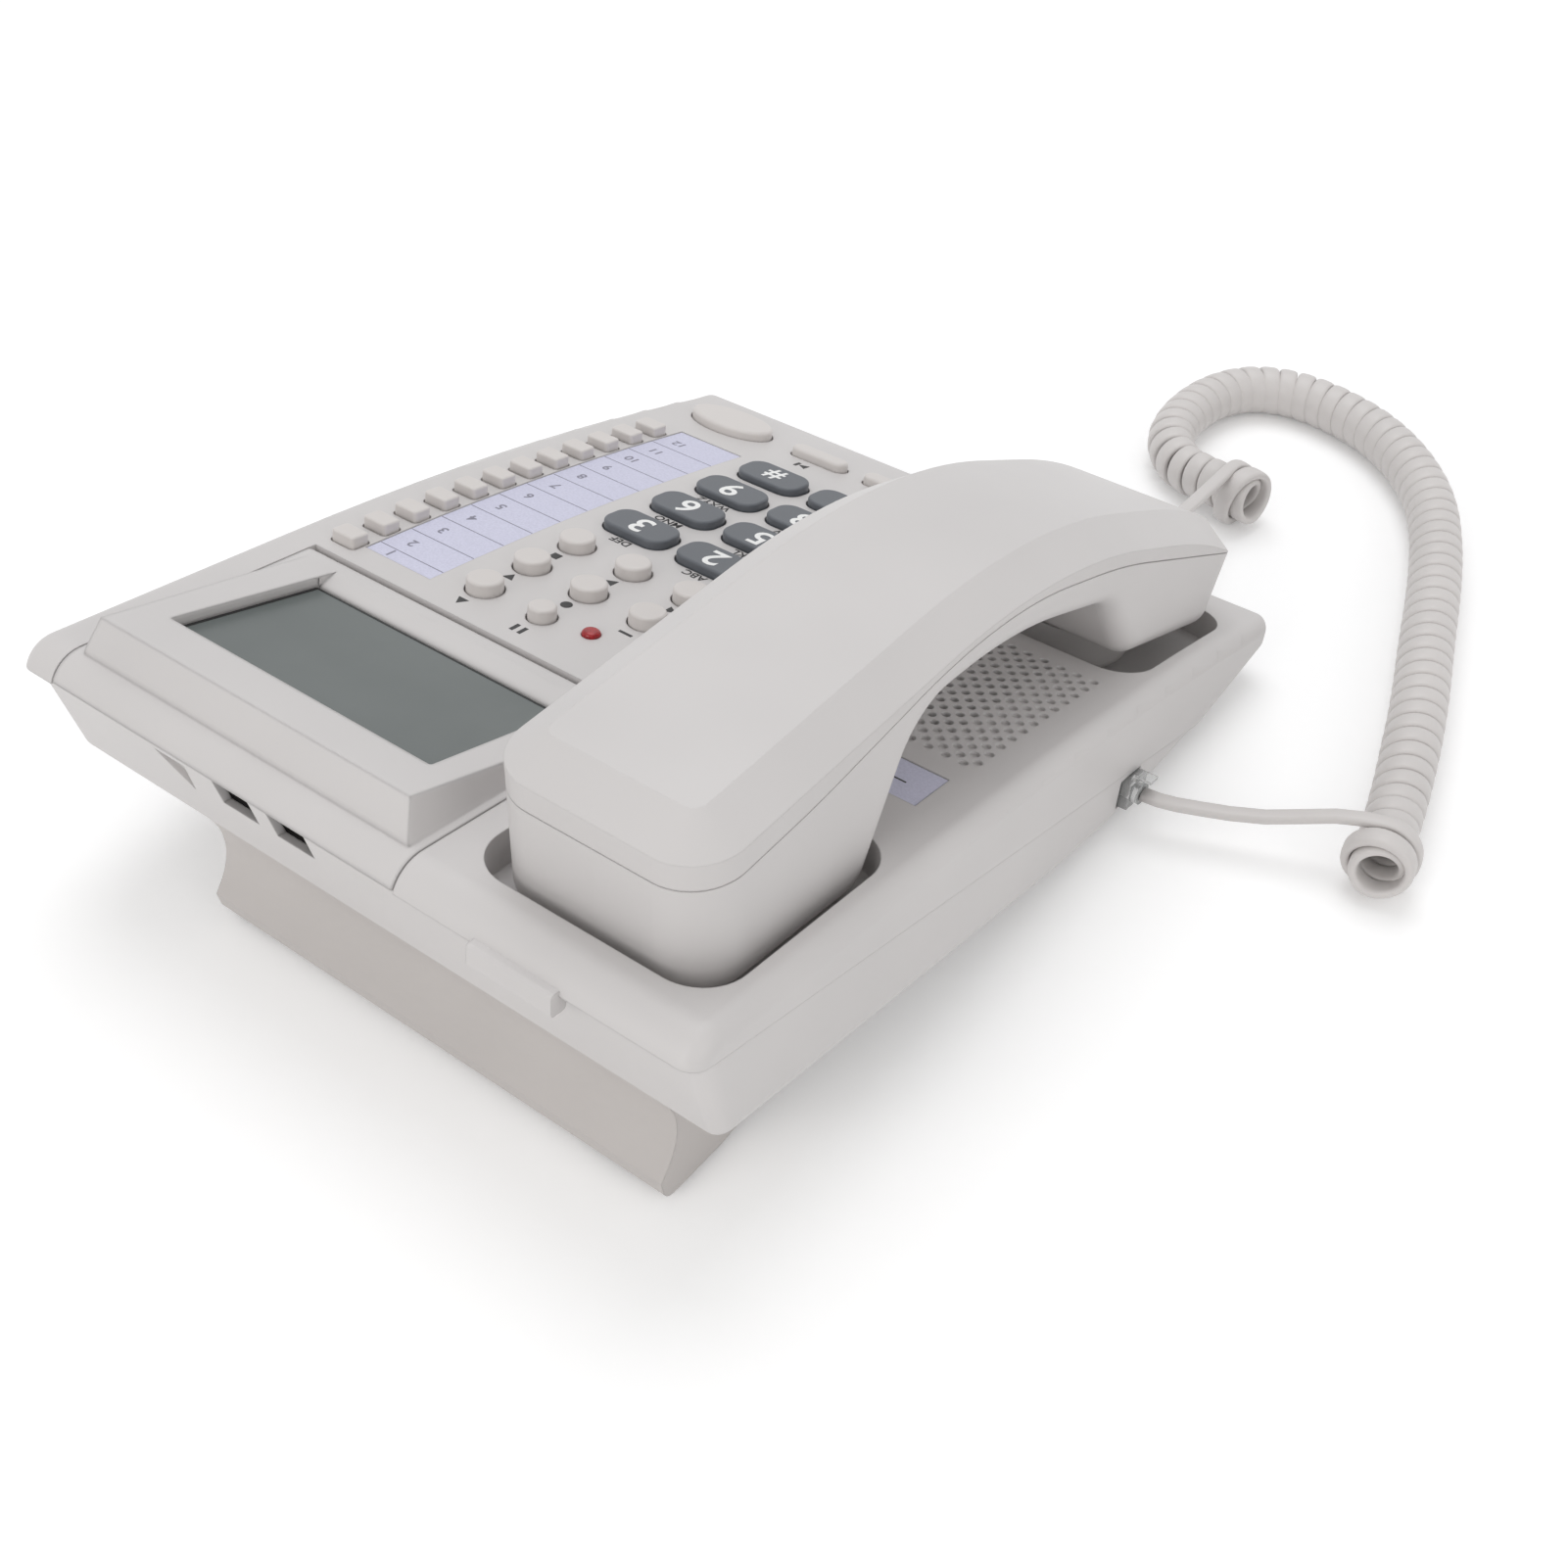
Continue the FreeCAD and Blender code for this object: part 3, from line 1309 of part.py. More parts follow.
def handset_plug_frame():
    """Plug in the front of the handset: its z axis points in along +y."""
    spot = Vector(dim("well_x"), 7.0, dim("handset_plug_z"))
    return Placement(spot, Rotation(Vector(1, 0, 0), Vector(0, 0, -1), Vector(0, 1, 0), "ZXY"))


# Curly cord: table places of the coil's middle line, from the base round to the handset, seen from above
COIL_ROUTE = (
    (-144.3, 61.6), (-139.5, 40.0), (-134.0, 20.0), (-128.0, 0.0), (-120.5, -21.0), (-113.5, -42.0),
    (-106.0, -62.0), (-96.0, -82.5), (-83.0, -97.5), (-69.0, -107.5), (-54.0, -112.5), (-40.0, -113.5),
    (-28.0, -108.5), (-21.5, -97.0), (-20.0, -82.0), (-23.0, -68.0), (-31.0, -58.5), (-43.0, -54.5),
    (-57.0, -51.4),
)


def on_table(x, y, z):
    return Vector(x, y - dim("stance_back"), z)


def coil_middle():
    """The coil's middle line: one smooth curve drawn by the route's points."""
    poles = [on_table(x, y, dim("coil_rest")) for x, y in COIL_ROUTE]
    spans = len(poles) - 2
    counts = [3] + [1] * (spans - 1) + [3]
    curve = Part.BSplineCurve()
    curve.buildFromPolesMultsKnots(poles, counts, list(range(spans + 1)), False, 2)
    return curve


def coil_spots():
    """Points and directions along the winding, four to each turn."""
    curve = coil_middle()
    length, turns = curve.length(), dim("coil_turns")
    radius = (dim("coil_diameter") - dim("cord_wire")) / 2
    up = Vector(0, 0, 1)

    def wound(share):
        place = curve.parameterAtDistance(length * share, curve.FirstParameter)
        along = Vector(*curve.tangent(place)[0])
        out = along.cross(up)
        angle = 2 * math.pi * turns * share
        return curve.value(place) + (up * math.cos(angle) + out * math.sin(angle)) * radius

    steps = int(4 * turns)
    nudge = 1e-4 / turns
    spots = []
    for i in range(steps + 1):
        share = i / steps
        before, after = max(share - nudge, 0.0), min(share + nudge, 1.0)
        spots.append((wound(share), (wound(after) - wound(before)).normalize()))
    return spots


def arc_from(start, heading, end):
    """The arc that leaves a point in a direction and reaches another point."""
    chord = end - start
    aside = heading - chord * (heading.dot(chord) / chord.dot(chord))
    if aside.Length < 1e-6:
        return Part.LineSegment(start, end)
    bulge = chord.Length / 2 * math.tan(heading.getAngle(chord) / 2)
    return Part.Arc(start, (start + end) / 2 + aside.normalize() * bulge, end)


def biarc(start, heading, end, arriving):
    """Two arcs that join two points with given directions."""
    gap = end - start
    both = heading + arriving
    spread = 2 * (1 - heading.dot(arriving))
    along = gap.dot(both)
    if spread < 1e-9:
        reach = gap.dot(gap) / (2 * along)
    else:
        reach = (-along + math.sqrt(along ** 2 + spread * gap.dot(gap))) / spread
    joint = (start + heading * reach + end - arriving * reach) / 2
    back = arc_from(end, arriving * -1, joint)
    second = Part.LineSegment(joint, end)
    if not isinstance(back, Part.LineSegment):
        middle = back.value((back.FirstParameter + back.LastParameter) / 2)
        second = Part.Arc(joint, middle, end)
    return [arc_from(start, heading, joint), second]


def cord_spots():
    """The whole lead: out of the base plug, through the coil and up into the handset plug."""
    boss = Vector(0, 0, -dim("plug_boss"))
    base, handset = STANDING.multiply(base_plug_frame()), STANDING.multiply(handset_plug_frame())
    leave = base.Rotation.multVec(Vector(0, 0, -1))
    arrive = handset.Rotation.multVec(Vector(0, 0, 1))
    start, end = base.multVec(boss), handset.multVec(boss)
    straight = dim("cord_wire") * 1.1
    spots = [(start, leave), (start + leave * straight, leave)]
    spots.append((on_table(-119.0, 69.0, 8.0), Vector(-0.98, -0.16, 0.05).normalize()))
    spots += coil_spots()
    spots.append((on_table(-52.0, -28.0, 17.5), Vector(0.05, 0.95, 0.3).normalize()))
    spots += [(end - arrive * straight, arrive), (end, arrive)]
    return spots


def handset_cord():
    spots = cord_spots()
    curves = []
    for (start, heading), (end, arriving) in zip(spots, spots[1:]):
        if heading.getAngle(end - start) < 1e-5 and arriving.getAngle(end - start) < 1e-5:
            curves.append(Part.LineSegment(start, end))
        else:
            curves += biarc(start, heading, end, arriving)
    path = Part.Wire([curve.toShape() for curve in curves])
    section = Part.Wire([Part.Circle(spots[0][0], spots[0][1], dim("cord_wire") / 2).toShape()])
    shell = Part.BRepOffsetAPI.MakePipeShell(path)
    shell.add(section)
    shell.build()
    shell.makeSolid()
    cord = doc.addObject("Part::Feature", "handset_cord")
    cord.Label = "handset_cord"
    cord.Shape = shell.shape()
    nodes.append(cord)
    report_cord(path, curves, cord.Shape)


def report_cord(path, curves, solid):
    """Print the tube's length, volume, tightest arc and least gap to itself."""
    tube = math.pi * dim("cord_wire") ** 2 / 4
    radii = [edge.Curve.Radius for edge in path.Edges if isinstance(edge.Curve, Part.Circle)]
    print(f"cord length {path.Length:.0f}, coil {coil_middle().length():.0f} along its middle line")
    print(f"volume {solid.Volume:.0f} against {tube * path.Length:.0f}, least radius {min(radii):.2f}")
    samples = [curve.value(curve.FirstParameter + share * (curve.LastParameter - curve.FirstParameter))
               for curve in curves for share in (0.0, 0.25, 0.5, 0.75)]
    apart = 24
    least = min(a.distanceToPoint(b) for i, a in enumerate(samples) for b in samples[i + apart:i + 120])
    print(f"least gap between turns {least - dim('cord_wire'):.2f}")


# Build
bottom_case()
stand()
rubber_feet()
case_screws()
main_board()
key_mat()
loudspeaker()
modular_jacks()
paper_labels()
ring_lamp()
hook_plunger()
display_housing()
display_back()
lcd_panel()
keys()
handset_top()
handset_bottom()
handset_insides()
handset_screws()
handset_socket()
plug_block("base_plug", base_plug_frame())
plug_block("handset_plug", handset_plug_frame())
handset_cord()
top_case()

doc.recompute()
for item in doc.Objects:
    if "Invalid" in item.State or "Error" in item.State:
        raise RuntimeError(f"{item.Name} did not build")
for node in nodes:
    if node.Shape.isNull() or not node.Shape.isValid():
        raise RuntimeError(f"{node.Label} has no valid shape")
for node in nodes:
    node.Shape.exportStep(f"parts/{node.Label}.step")
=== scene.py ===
import json
import math

import bmesh
import bpy
import numpy as np
from mathutils import Matrix, Vector
from mathutils.bvhtree import BVHTree

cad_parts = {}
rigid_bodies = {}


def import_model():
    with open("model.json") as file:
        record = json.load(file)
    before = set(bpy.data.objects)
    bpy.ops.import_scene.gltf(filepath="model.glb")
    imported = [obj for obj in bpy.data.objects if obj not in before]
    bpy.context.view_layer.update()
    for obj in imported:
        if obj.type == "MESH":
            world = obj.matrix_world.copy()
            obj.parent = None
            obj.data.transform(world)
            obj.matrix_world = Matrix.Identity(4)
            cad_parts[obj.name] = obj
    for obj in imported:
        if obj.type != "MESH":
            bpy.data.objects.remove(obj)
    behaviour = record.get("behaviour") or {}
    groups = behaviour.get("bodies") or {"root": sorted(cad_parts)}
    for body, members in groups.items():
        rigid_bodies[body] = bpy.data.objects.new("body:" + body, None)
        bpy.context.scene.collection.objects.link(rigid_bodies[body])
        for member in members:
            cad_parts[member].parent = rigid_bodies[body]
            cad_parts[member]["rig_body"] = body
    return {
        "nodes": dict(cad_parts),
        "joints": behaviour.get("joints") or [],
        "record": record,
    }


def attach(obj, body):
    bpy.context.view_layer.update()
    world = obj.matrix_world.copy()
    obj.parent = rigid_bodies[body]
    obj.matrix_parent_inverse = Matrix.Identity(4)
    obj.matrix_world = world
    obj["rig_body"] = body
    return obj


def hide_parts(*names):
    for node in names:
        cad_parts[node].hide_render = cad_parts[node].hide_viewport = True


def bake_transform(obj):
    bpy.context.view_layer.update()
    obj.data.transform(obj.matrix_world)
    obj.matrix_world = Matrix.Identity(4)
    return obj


MM = 0.001

# How the tilted case frame stands on the table, as in the part
STANCE_TILT = math.radians(8.3)
STANCE_BACK = 113.64 * MM
STANCE_LIFT = 28.3 * MM
STANDING = Matrix.Translation((0, -STANCE_BACK, STANCE_LIFT)) @ Matrix.Rotation(STANCE_TILT, 4, "X")

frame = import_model()
nodes = frame["nodes"]
joints = {joint["child"]: joint for joint in frame["joints"]}
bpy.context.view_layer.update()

# Camera, light and floor
CAMERA_PLACE = (-0.21836, 0.25492, 0.29410)
CAMERA_HEADING = (0.4510, -0.5908, -0.6689)
CAMERA_LENS = 43.33
CAMERA_SENSOR = 36.0
CAMERA_NEAR = 0.01
LAMP_AIM = (0, 0, 0.03)
COOL = (0.97, 0.98, 1.0)
WARM = (1.0, 0.98, 0.96)
WHITE = (1.0, 1.0, 1.0, 1.0)
ROOM_LIGHT = 0.62
SEEN_LIGHT = 1.0
FLOOR_SIZE = 6.0
FLOOR_COLOUR = (0.97, 0.97, 0.97, 1)
FLOOR_GLOW = 0.14


def place_camera():
    data = bpy.data.cameras.new("photo_camera")
    data.lens = CAMERA_LENS
    data.sensor_width = CAMERA_SENSOR
    data.clip_start = CAMERA_NEAR
    camera = bpy.data.objects.new("photo_camera", data)
    camera.location = CAMERA_PLACE
    camera.rotation_euler = Vector(CAMERA_HEADING).to_track_quat("-Z", "Y").to_euler()
    bpy.context.scene.collection.objects.link(camera)
    bpy.context.scene.camera = camera


def soft_lamp(name, place, size, power, tint):
    """A round softbox aimed at the middle of the object."""
    data = bpy.data.lights.new(name, "AREA")
    data.shape = "DISK"
    data.size = size
    data.energy = power
    data.color = tint
    lamp = bpy.data.objects.new(name, data)
    lamp.location = place
    lamp.rotation_euler = (Vector(LAMP_AIM) - Vector(place)).to_track_quat("-Z", "Y").to_euler()
    bpy.context.scene.collection.objects.link(lamp)


def seen_rays(tree):
    """One for rays that show the surroundings: to the camera, in a shine or through clear plastic."""
    path = tree.nodes.new("ShaderNodeLightPath")
    both = tree.nodes.new("ShaderNodeMath")
    both.operation = "MAXIMUM"
    tree.links.new(path.outputs["Is Camera Ray"], both.inputs[0])
    tree.links.new(path.outputs["Is Glossy Ray"], both.inputs[1])
    every = tree.nodes.new("ShaderNodeMath")
    every.operation = "MAXIMUM"
    tree.links.new(both.outputs["Value"], every.inputs[0])
    tree.links.new(path.outputs["Is Transmission Ray"], every.inputs[1])
    return every.outputs["Value"]


def light_studio():
    soft_lamp("overhead_softbox", place=(0.35, -0.55, 1.5), size=1.2, power=7.8, tint=COOL)
    soft_lamp("rear_softbox", place=(0.15, 1.4, 0.75), size=1.0, power=5.2, tint=WARM)
    soft_lamp("side_softbox", place=(-1.4, 0.2, 0.7), size=1.0, power=2.7, tint=WARM)
    world = bpy.data.worlds.new("studio")
    world.use_nodes = True
    tree = world.node_tree
    room = tree.nodes["Background"]
    room.inputs["Color"].default_value = WHITE
    room.inputs["Strength"].default_value = ROOM_LIGHT
    seen = tree.nodes.new("ShaderNodeBackground")
    seen.inputs["Color"].default_value = WHITE
    seen.inputs["Strength"].default_value = SEEN_LIGHT
    mix = tree.nodes.new("ShaderNodeMixShader")
    tree.links.new(seen_rays(tree), mix.inputs["Fac"])
    tree.links.new(room.outputs["Background"], mix.inputs[1])
    tree.links.new(seen.outputs["Background"], mix.inputs[2])
    tree.links.new(mix.outputs["Shader"], tree.nodes["World Output"].inputs["Surface"])
    bpy.context.scene.world = world
    bpy.context.scene.view_settings.view_transform = "Standard"


def lay_floor():
    mesh = bpy.data.meshes.new("floor")
    half = FLOOR_SIZE / 2
    corners = [(-half, -half, 0), (half, -half, 0), (half, half, 0), (-half, half, 0)]
    mesh.from_pydata(corners, [], [(0, 1, 2, 3)])
    floor = bpy.data.objects.new("floor", mesh)
    bpy.context.scene.collection.objects.link(floor)
    material, shader, add, link = blank_material("pale_floor")
    shader.inputs["Base Color"].default_value = FLOOR_COLOUR
    shader.inputs["Roughness"].default_value = 0.9
    shader.inputs["Specular IOR Level"].default_value = 0.1
    shader.inputs["Emission Color"].default_value = WHITE
    glow = spread(add, link, seen_rays(material.node_tree), 0.0, FLOOR_GLOW)
    link(glow, shader.inputs["Emission Strength"])
    mesh.materials.append(material)


# Finishes
DRIFT_SCALE = 22.0
GLOSS_SPREAD = 0.06
ETCH_STRENGTH = 0.6
EDGE_SAMPLES = 6
METAL_SPREAD = 0.08


def blank_material(name):
    """A material with its shader, its node maker and its link maker."""
    material = bpy.data.materials.new(name)
    material.use_nodes = True
    tree = material.node_tree

    def add(kind, **settings):
        node = tree.nodes.new(kind)
        for key, value in settings.items():
            setattr(node, key, value)
        return node

    return material, tree.nodes["Principled BSDF"], add, tree.links.new


def linear(red, green, blue):
    """Screen colour, 0 to 255, as linear light."""
    def one(value):
        value /= 255
        return value / 12.92 if value <= 0.04045 else ((value + 0.055) / 1.055) ** 2.4
    return (one(red), one(green), one(blue), 1.0)


def noise(add, link, scale, detail):
    """Noise on the piece's own coordinates."""
    place = add("ShaderNodeTexCoord")
    texture = add("ShaderNodeTexNoise")
    texture.inputs["Scale"].default_value = scale
    texture.inputs["Detail"].default_value = detail
    link(place.outputs["Object"], texture.inputs["Vector"])
    return texture.outputs["Fac"]


def two_tones(add, link, source, dark, light):
    ramp = add("ShaderNodeValToRGB")
    ramp.color_ramp.elements[0].position = 0.3
    ramp.color_ramp.elements[0].color = dark
    ramp.color_ramp.elements[1].position = 0.7
    ramp.color_ramp.elements[1].color = light
    link(source, ramp.inputs["Fac"])
    return ramp.outputs["Color"]


def spread(add, link, source, low, high):
    span = add("ShaderNodeMapRange")
    span.inputs["To Min"].default_value = low
    span.inputs["To Max"].default_value = high
    link(source, span.inputs["Value"])
    return span.outputs["Result"]


def moulded(name, colour, roughness, grain=0.35 * MM, depth=0.012 * MM, drift=0.05, soften=0.0):
    """Moulded plastic: a fine spark-etched grain, a slow drift of tone and soft edges."""
    material, shader, add, link = blank_material(name)
    etched = noise(add, link, 1 / grain, 3.0)
    slow = noise(add, link, DRIFT_SCALE, 2.0)
    shade = (*[channel * (1 - drift) for channel in colour[:3]], 1)
    link(two_tones(add, link, slow, shade, colour), shader.inputs["Base Color"])
    gloss = spread(add, link, etched, roughness - GLOSS_SPREAD, roughness + GLOSS_SPREAD)
    link(gloss, shader.inputs["Roughness"])
    bump = add("ShaderNodeBump")
    bump.inputs["Distance"].default_value = depth
    bump.inputs["Strength"].default_value = ETCH_STRENGTH
    link(etched, bump.inputs["Height"])
    link(bump.outputs["Normal"], shader.inputs["Normal"])
    if soften:
        edge = add("ShaderNodeBevel", samples=EDGE_SAMPLES)
        edge.inputs["Radius"].default_value = soften
        link(edge.outputs["Normal"], bump.inputs["Normal"])
    return material


def clear_plastic():
    material, shader, add, link = blank_material("clear_plug")
    shader.inputs["Base Color"].default_value = (0.93, 0.94, 0.94, 1)
    shader.inputs["Transmission Weight"].default_value = 0.85
    shader.inputs["IOR"].default_value = 1.49
    flow = noise(add, link, 600.0, 2.0)
    link(spread(add, link, flow, 0.05, 0.16), shader.inputs["Roughness"])
    return material


def toned(name, scale, dark, light, roughness):
    """A plain surface with two close tones."""
    material, shader, add, link = blank_material(name)
    mottle = noise(add, link, scale, 4.0)
    link(two_tones(add, link, mottle, dark, light), shader.inputs["Base Color"])
    shader.inputs["Roughness"].default_value = roughness
    return material


def red_lens():
    material = toned("red_lens", 900.0, linear(140, 14, 20), linear(172, 26, 32), 0.2)
    shader = material.node_tree.nodes["Principled BSDF"]
    shader.inputs["Subsurface Weight"].default_value = 0.2
    shader.inputs["Subsurface Radius"].default_value = (0.002, 0.0005, 0.0005)
    return material


def metal(name, colour, roughness):
    material, shader, add, link = blank_material(name)
    brushed = noise(add, link, 1500.0, 2.0)
    gloss = spread(add, link, brushed, roughness - METAL_SPREAD, roughness + METAL_SPREAD)
    link(gloss, shader.inputs["Roughness"])
    shader.inputs["Base Color"].default_value = colour
    shader.inputs["Metallic"].default_value = 1.0
    return material


SHELL = moulded("shell_plastic", linear(207, 204, 203), 0.46, soften=0.5 * MM)
SOFT_SHELL = moulded("display_shell_plastic", linear(207, 204, 203), 0.46, soften=1.6 * MM)
# The stand is given a slightly darker, warmer tone than the case shell
STAND_SHELL = moulded("stand_plastic", linear(195, 190, 187), 0.50, soften=0.5 * MM)
BUTTON = moulded("button_plastic", linear(211, 206, 203), 0.40, drift=0.03, soften=0.4 * MM)
DARK_KEY = moulded("dark_key_plastic", linear(92, 96, 102), 0.42, soften=0.5 * MM)
CORD = moulded("cord_vinyl", linear(210, 206, 204), 0.45, grain=1.2 * MM, depth=0.01 * MM)
RUBBER = moulded("foot_rubber", linear(58, 57, 56), 0.8, depth=0.05 * MM)
JACK = moulded("jack_plastic", linear(60, 58, 57), 0.5)
BOARD = moulded("board_laminate", linear(40, 92, 58), 0.4)
WHITE_INK = moulded("white_ink", linear(240, 240, 239), 0.5, drift=0.02)
BLACK_INK = moulded("black_ink", linear(40, 39, 40), 0.5, drift=0.1)
GREY_INK = moulded("grey_ink", linear(132, 131, 146), 0.5, drift=0.05)
# Near-black for the strip round the screen: partly its black mask border, partly painted shade at the foot
# of the window walls
MASK_AND_PAINTED_SHADE = moulded("display_mask_and_painted_shade", linear(22, 22, 23), 0.6, drift=0.1)
CAPSULE = metal("capsule_metal", linear(105, 104, 106), 0.5)
STEEL = metal("screw_steel", linear(150, 150, 152), 0.35)
CLEAR = clear_plastic()
SCREEN = toned("display_screen", 26.0, linear(89, 96, 95), linear(100, 106, 105), 0.32)
PAPER = toned("label_paper", 1800.0, linear(199, 199, 218), linear(211, 211, 230), 0.6)
LENS = red_lens()

SLOT_FINISH = {
    "shell": SHELL, "dark_key": DARK_KEY, "pad": RUBBER, "cord": CORD, "clear": CLEAR, "paper": PAPER,
    "screen": SCREEN, "lamp": LENS, "jack": JACK, "board": BOARD, "capsule": CAPSULE, "steel": STEEL,
}
NODE_FINISH = {"display_housing": SOFT_SHELL, "stand": STAND_SHELL}


def dress_nodes():
    for entry in frame["record"]["subparts"]:
        node = nodes[entry["node"]]
        finish = SLOT_FINISH[entry["material_slot"]]
        if "_key" in node.name and entry["material_slot"] == "shell":
            finish = BUTTON
        node.data.materials.clear()
        node.data.materials.append(NODE_FINISH.get(node.name, finish))


# Printed marks
INK = 0.05 * MM
ABOVE_CASE = 40 * MM


def add_piece(name, mesh, body, material):
    piece = bpy.data.objects.new(name, mesh)
    bpy.context.scene.collection.objects.link(piece)
    mesh.materials.clear()
    mesh.materials.append(material)
    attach(piece, body)
    return piece


def baked(holder):
    """The finished mesh of an object that is then thrown away."""
    bpy.context.scene.collection.objects.link(holder)
    bpy.context.view_layer.update()
    mesh = bpy.data.meshes.new_from_object(holder.evaluated_get(bpy.context.evaluated_depsgraph_get()))
    bpy.data.objects.remove(holder)
    return mesh


def printed(name, words, size, place, weight=0.0):
    """Raised ink: text as a thin closed slab, put in its place."""
    data = bpy.data.curves.new(name, "FONT")
    data.body = words
    data.size = size
    data.align_x = "CENTER"
    data.align_y = "CENTER"
    data.extrude = INK / 2
    data.offset = weight
    data.resolution_u = 4
    mesh = baked(bpy.data.objects.new(name + "_text", data))
    mesh.transform(place)
    mesh.name = name
    return mesh


def slab(name, outlines, places):
    """Flat closed outlines as thin slabs, each in its place, in one mesh."""
    shape = bmesh.new()
    for outline, place in zip(outlines, places):
        low = [shape.verts.new(place @ Vector((x, y, -INK / 2))) for x, y in outline]
        high = [shape.verts.new(place @ Vector((x, y, INK / 2))) for x, y in outline]
        shape.faces.new(low[::-1])
        shape.faces.new(high)
        for i in range(len(outline)):
            j = (i + 1) % len(outline)
            shape.faces.new((low[i], low[j], high[j], high[i]))
    mesh = bpy.data.meshes.new(name)
    shape.to_mesh(mesh)
    shape.free()
    return mesh


def sits(spot, out):
    """Frame on a surface: x to the right, y up the panel, z out of it."""
    across = Vector((1, 0, 0))
    up = out.cross(across).normalized()
    return Matrix.Translation(spot + out * INK / 2) @ Matrix((across, up, out)).transposed().to_4x4()


def key_face(node):
    """Frame in the middle of a key's top face."""
    out = -Vector(joints[nodes[node]["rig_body"]]["axis"]).normalized()
    across = Vector((1, 0, 0))
    up = out.cross(across)
    points = [vertex.co for vertex in nodes[node].data.vertices]
    middle = Vector()
    for way in (across, up):
        reach = [point.dot(way) for point in points]
        middle += way * (min(reach) + max(reach)) / 2
    return sits(middle + out * max(point.dot(out) for point in points), out)


def surface_finder(node):
    data = nodes[node].data
    corners = [vertex.co for vertex in data.vertices]
    tree = BVHTree.FromPolygons(corners, [polygon.vertices for polygon in data.polygons])

    def find(x, y):
        """Frame on the node's upper side at a place of the case frame, in mm."""
        start = STANDING @ Vector((x * MM, y * MM, ABOVE_CASE))
        down = -(STANDING.to_3x3() @ Vector((0, 0, 1)))
        spot, out, _, _ = tree.ray_cast(start, down)
        return sits(spot, out)

    return find


def case_spot(matrix):
    """A frame's place in the case frame, in mm."""
    spot = STANDING.inverted() @ matrix.translation
    return spot.x / MM, spot.y / MM


DIGITS = {
    "one": ("1", ""), "two": ("2", "ABC"), "three": ("3", "DEF"), "four": ("4", "GHI"), "five": ("5", "JKL"),
    "six": ("6", "MNO"), "seven": ("7", "PQRS"), "eight": ("8", "TUV"), "nine": ("9", "WXYZ"),
    "star": ("*", ""), "zero": ("0", ""), "hash": ("#", ""),
}
DIGIT_SIZE = 10.4 * MM
DIGIT_WEIGHT = 0.14 * MM
SIGN_SIZES = {"*": (14.0 * MM, -2.4 * MM), "#": (8.4 * MM, 0.0)}
LETTER_SIZE = 3.3 * MM
LETTER_WEIGHT = 0.05 * MM
LETTER_STEP = 7.5


def print_keys(on_panel):
    for name, (digit, letters) in DIGITS.items():
        node = "key_" + name
        face = key_face(node)
        size, drop = SIGN_SIZES.get(digit, (DIGIT_SIZE, 0.0))
        place = face @ Matrix.Translation((0, drop, 0))
        mesh = printed("digit_" + name, digit, size, place, DIGIT_WEIGHT)
        add_piece("digit_" + name, mesh, node + "_cap", WHITE_INK)
        if letters:
            x, y = case_spot(face)
            place = on_panel(x, y + LETTER_STEP)
            mesh = printed("letters_" + name, letters, LETTER_SIZE, place, LETTER_WEIGHT)
            add_piece("letters_" + name, mesh, "base", BLACK_INK)


def regular(sides, radius, turn=0.0):
    steps = [turn + 2 * math.pi * i / sides for i in range(sides)]
    return [(radius * math.cos(step), radius * math.sin(step)) for step in steps]


def bar(x, y, width, depth):
    return [(x, y), (x + width, y), (x + width, y + depth), (x, y + depth)]


UP, DOWN, RIGHT, LEFT = math.pi / 2, -math.pi / 2, 0.0, math.pi
SIGN = 1.7 * MM
TALL = 2.8 * MM
DOT = regular(24, 1.4 * MM)
KEY_SIGNS = {
    "function_key_11": [regular(3, SIGN, UP)],
    "function_key_12": [regular(3, SIGN, DOWN)],
    "function_key_13": [regular(4, SIGN, UP / 2)],
    "function_key_21": [bar(side * MM, -TALL / 2, 1.0 * MM, TALL) for side in (-1.6, 0.6)],
    "function_key_22": [DOT],
    "function_key_23": [regular(3, SIGN, RIGHT)],
    "function_key_32": [bar(-1.8 * MM, -0.4 * MM, 3.6 * MM, 0.8 * MM)],
    "function_key_33": [regular(3, SIGN, LEFT)],
    "pill_key_right": [regular(3, SIGN, RIGHT), bar(1.8 * MM, -TALL / 2, 0.9 * MM, TALL)],
    "pill_key_left": [DOT],
}
SIGN_STEP = 7.4


def print_signs(on_panel):
    outlines, places = [], []
    for node, signs in KEY_SIGNS.items():
        x, y = case_spot(key_face(node))
        outlines += signs
        places += [on_panel(x, y + SIGN_STEP)] * len(signs)
    add_piece("key_signs", slab("key_signs", outlines, places), "base", BLACK_INK)


# Paper card beside the memory keys, and the label between the wells
CARD = {"x": 59.6, "width": 19.6, "rear": 147.4}
MEMORY_KEYS = 12
RULE = 0.22 * MM
NUMBER_SIZE = 4.0 * MM
NUMBER_WEIGHT = 0.06 * MM
NUMBER_INSET = 5.2
NUMBER_MARGIN = 2.1
LABEL = {"x": -62.0, "y": 137.6}
LABEL_RULE = {"length": 18.0 * MM, "width": 0.4 * MM}


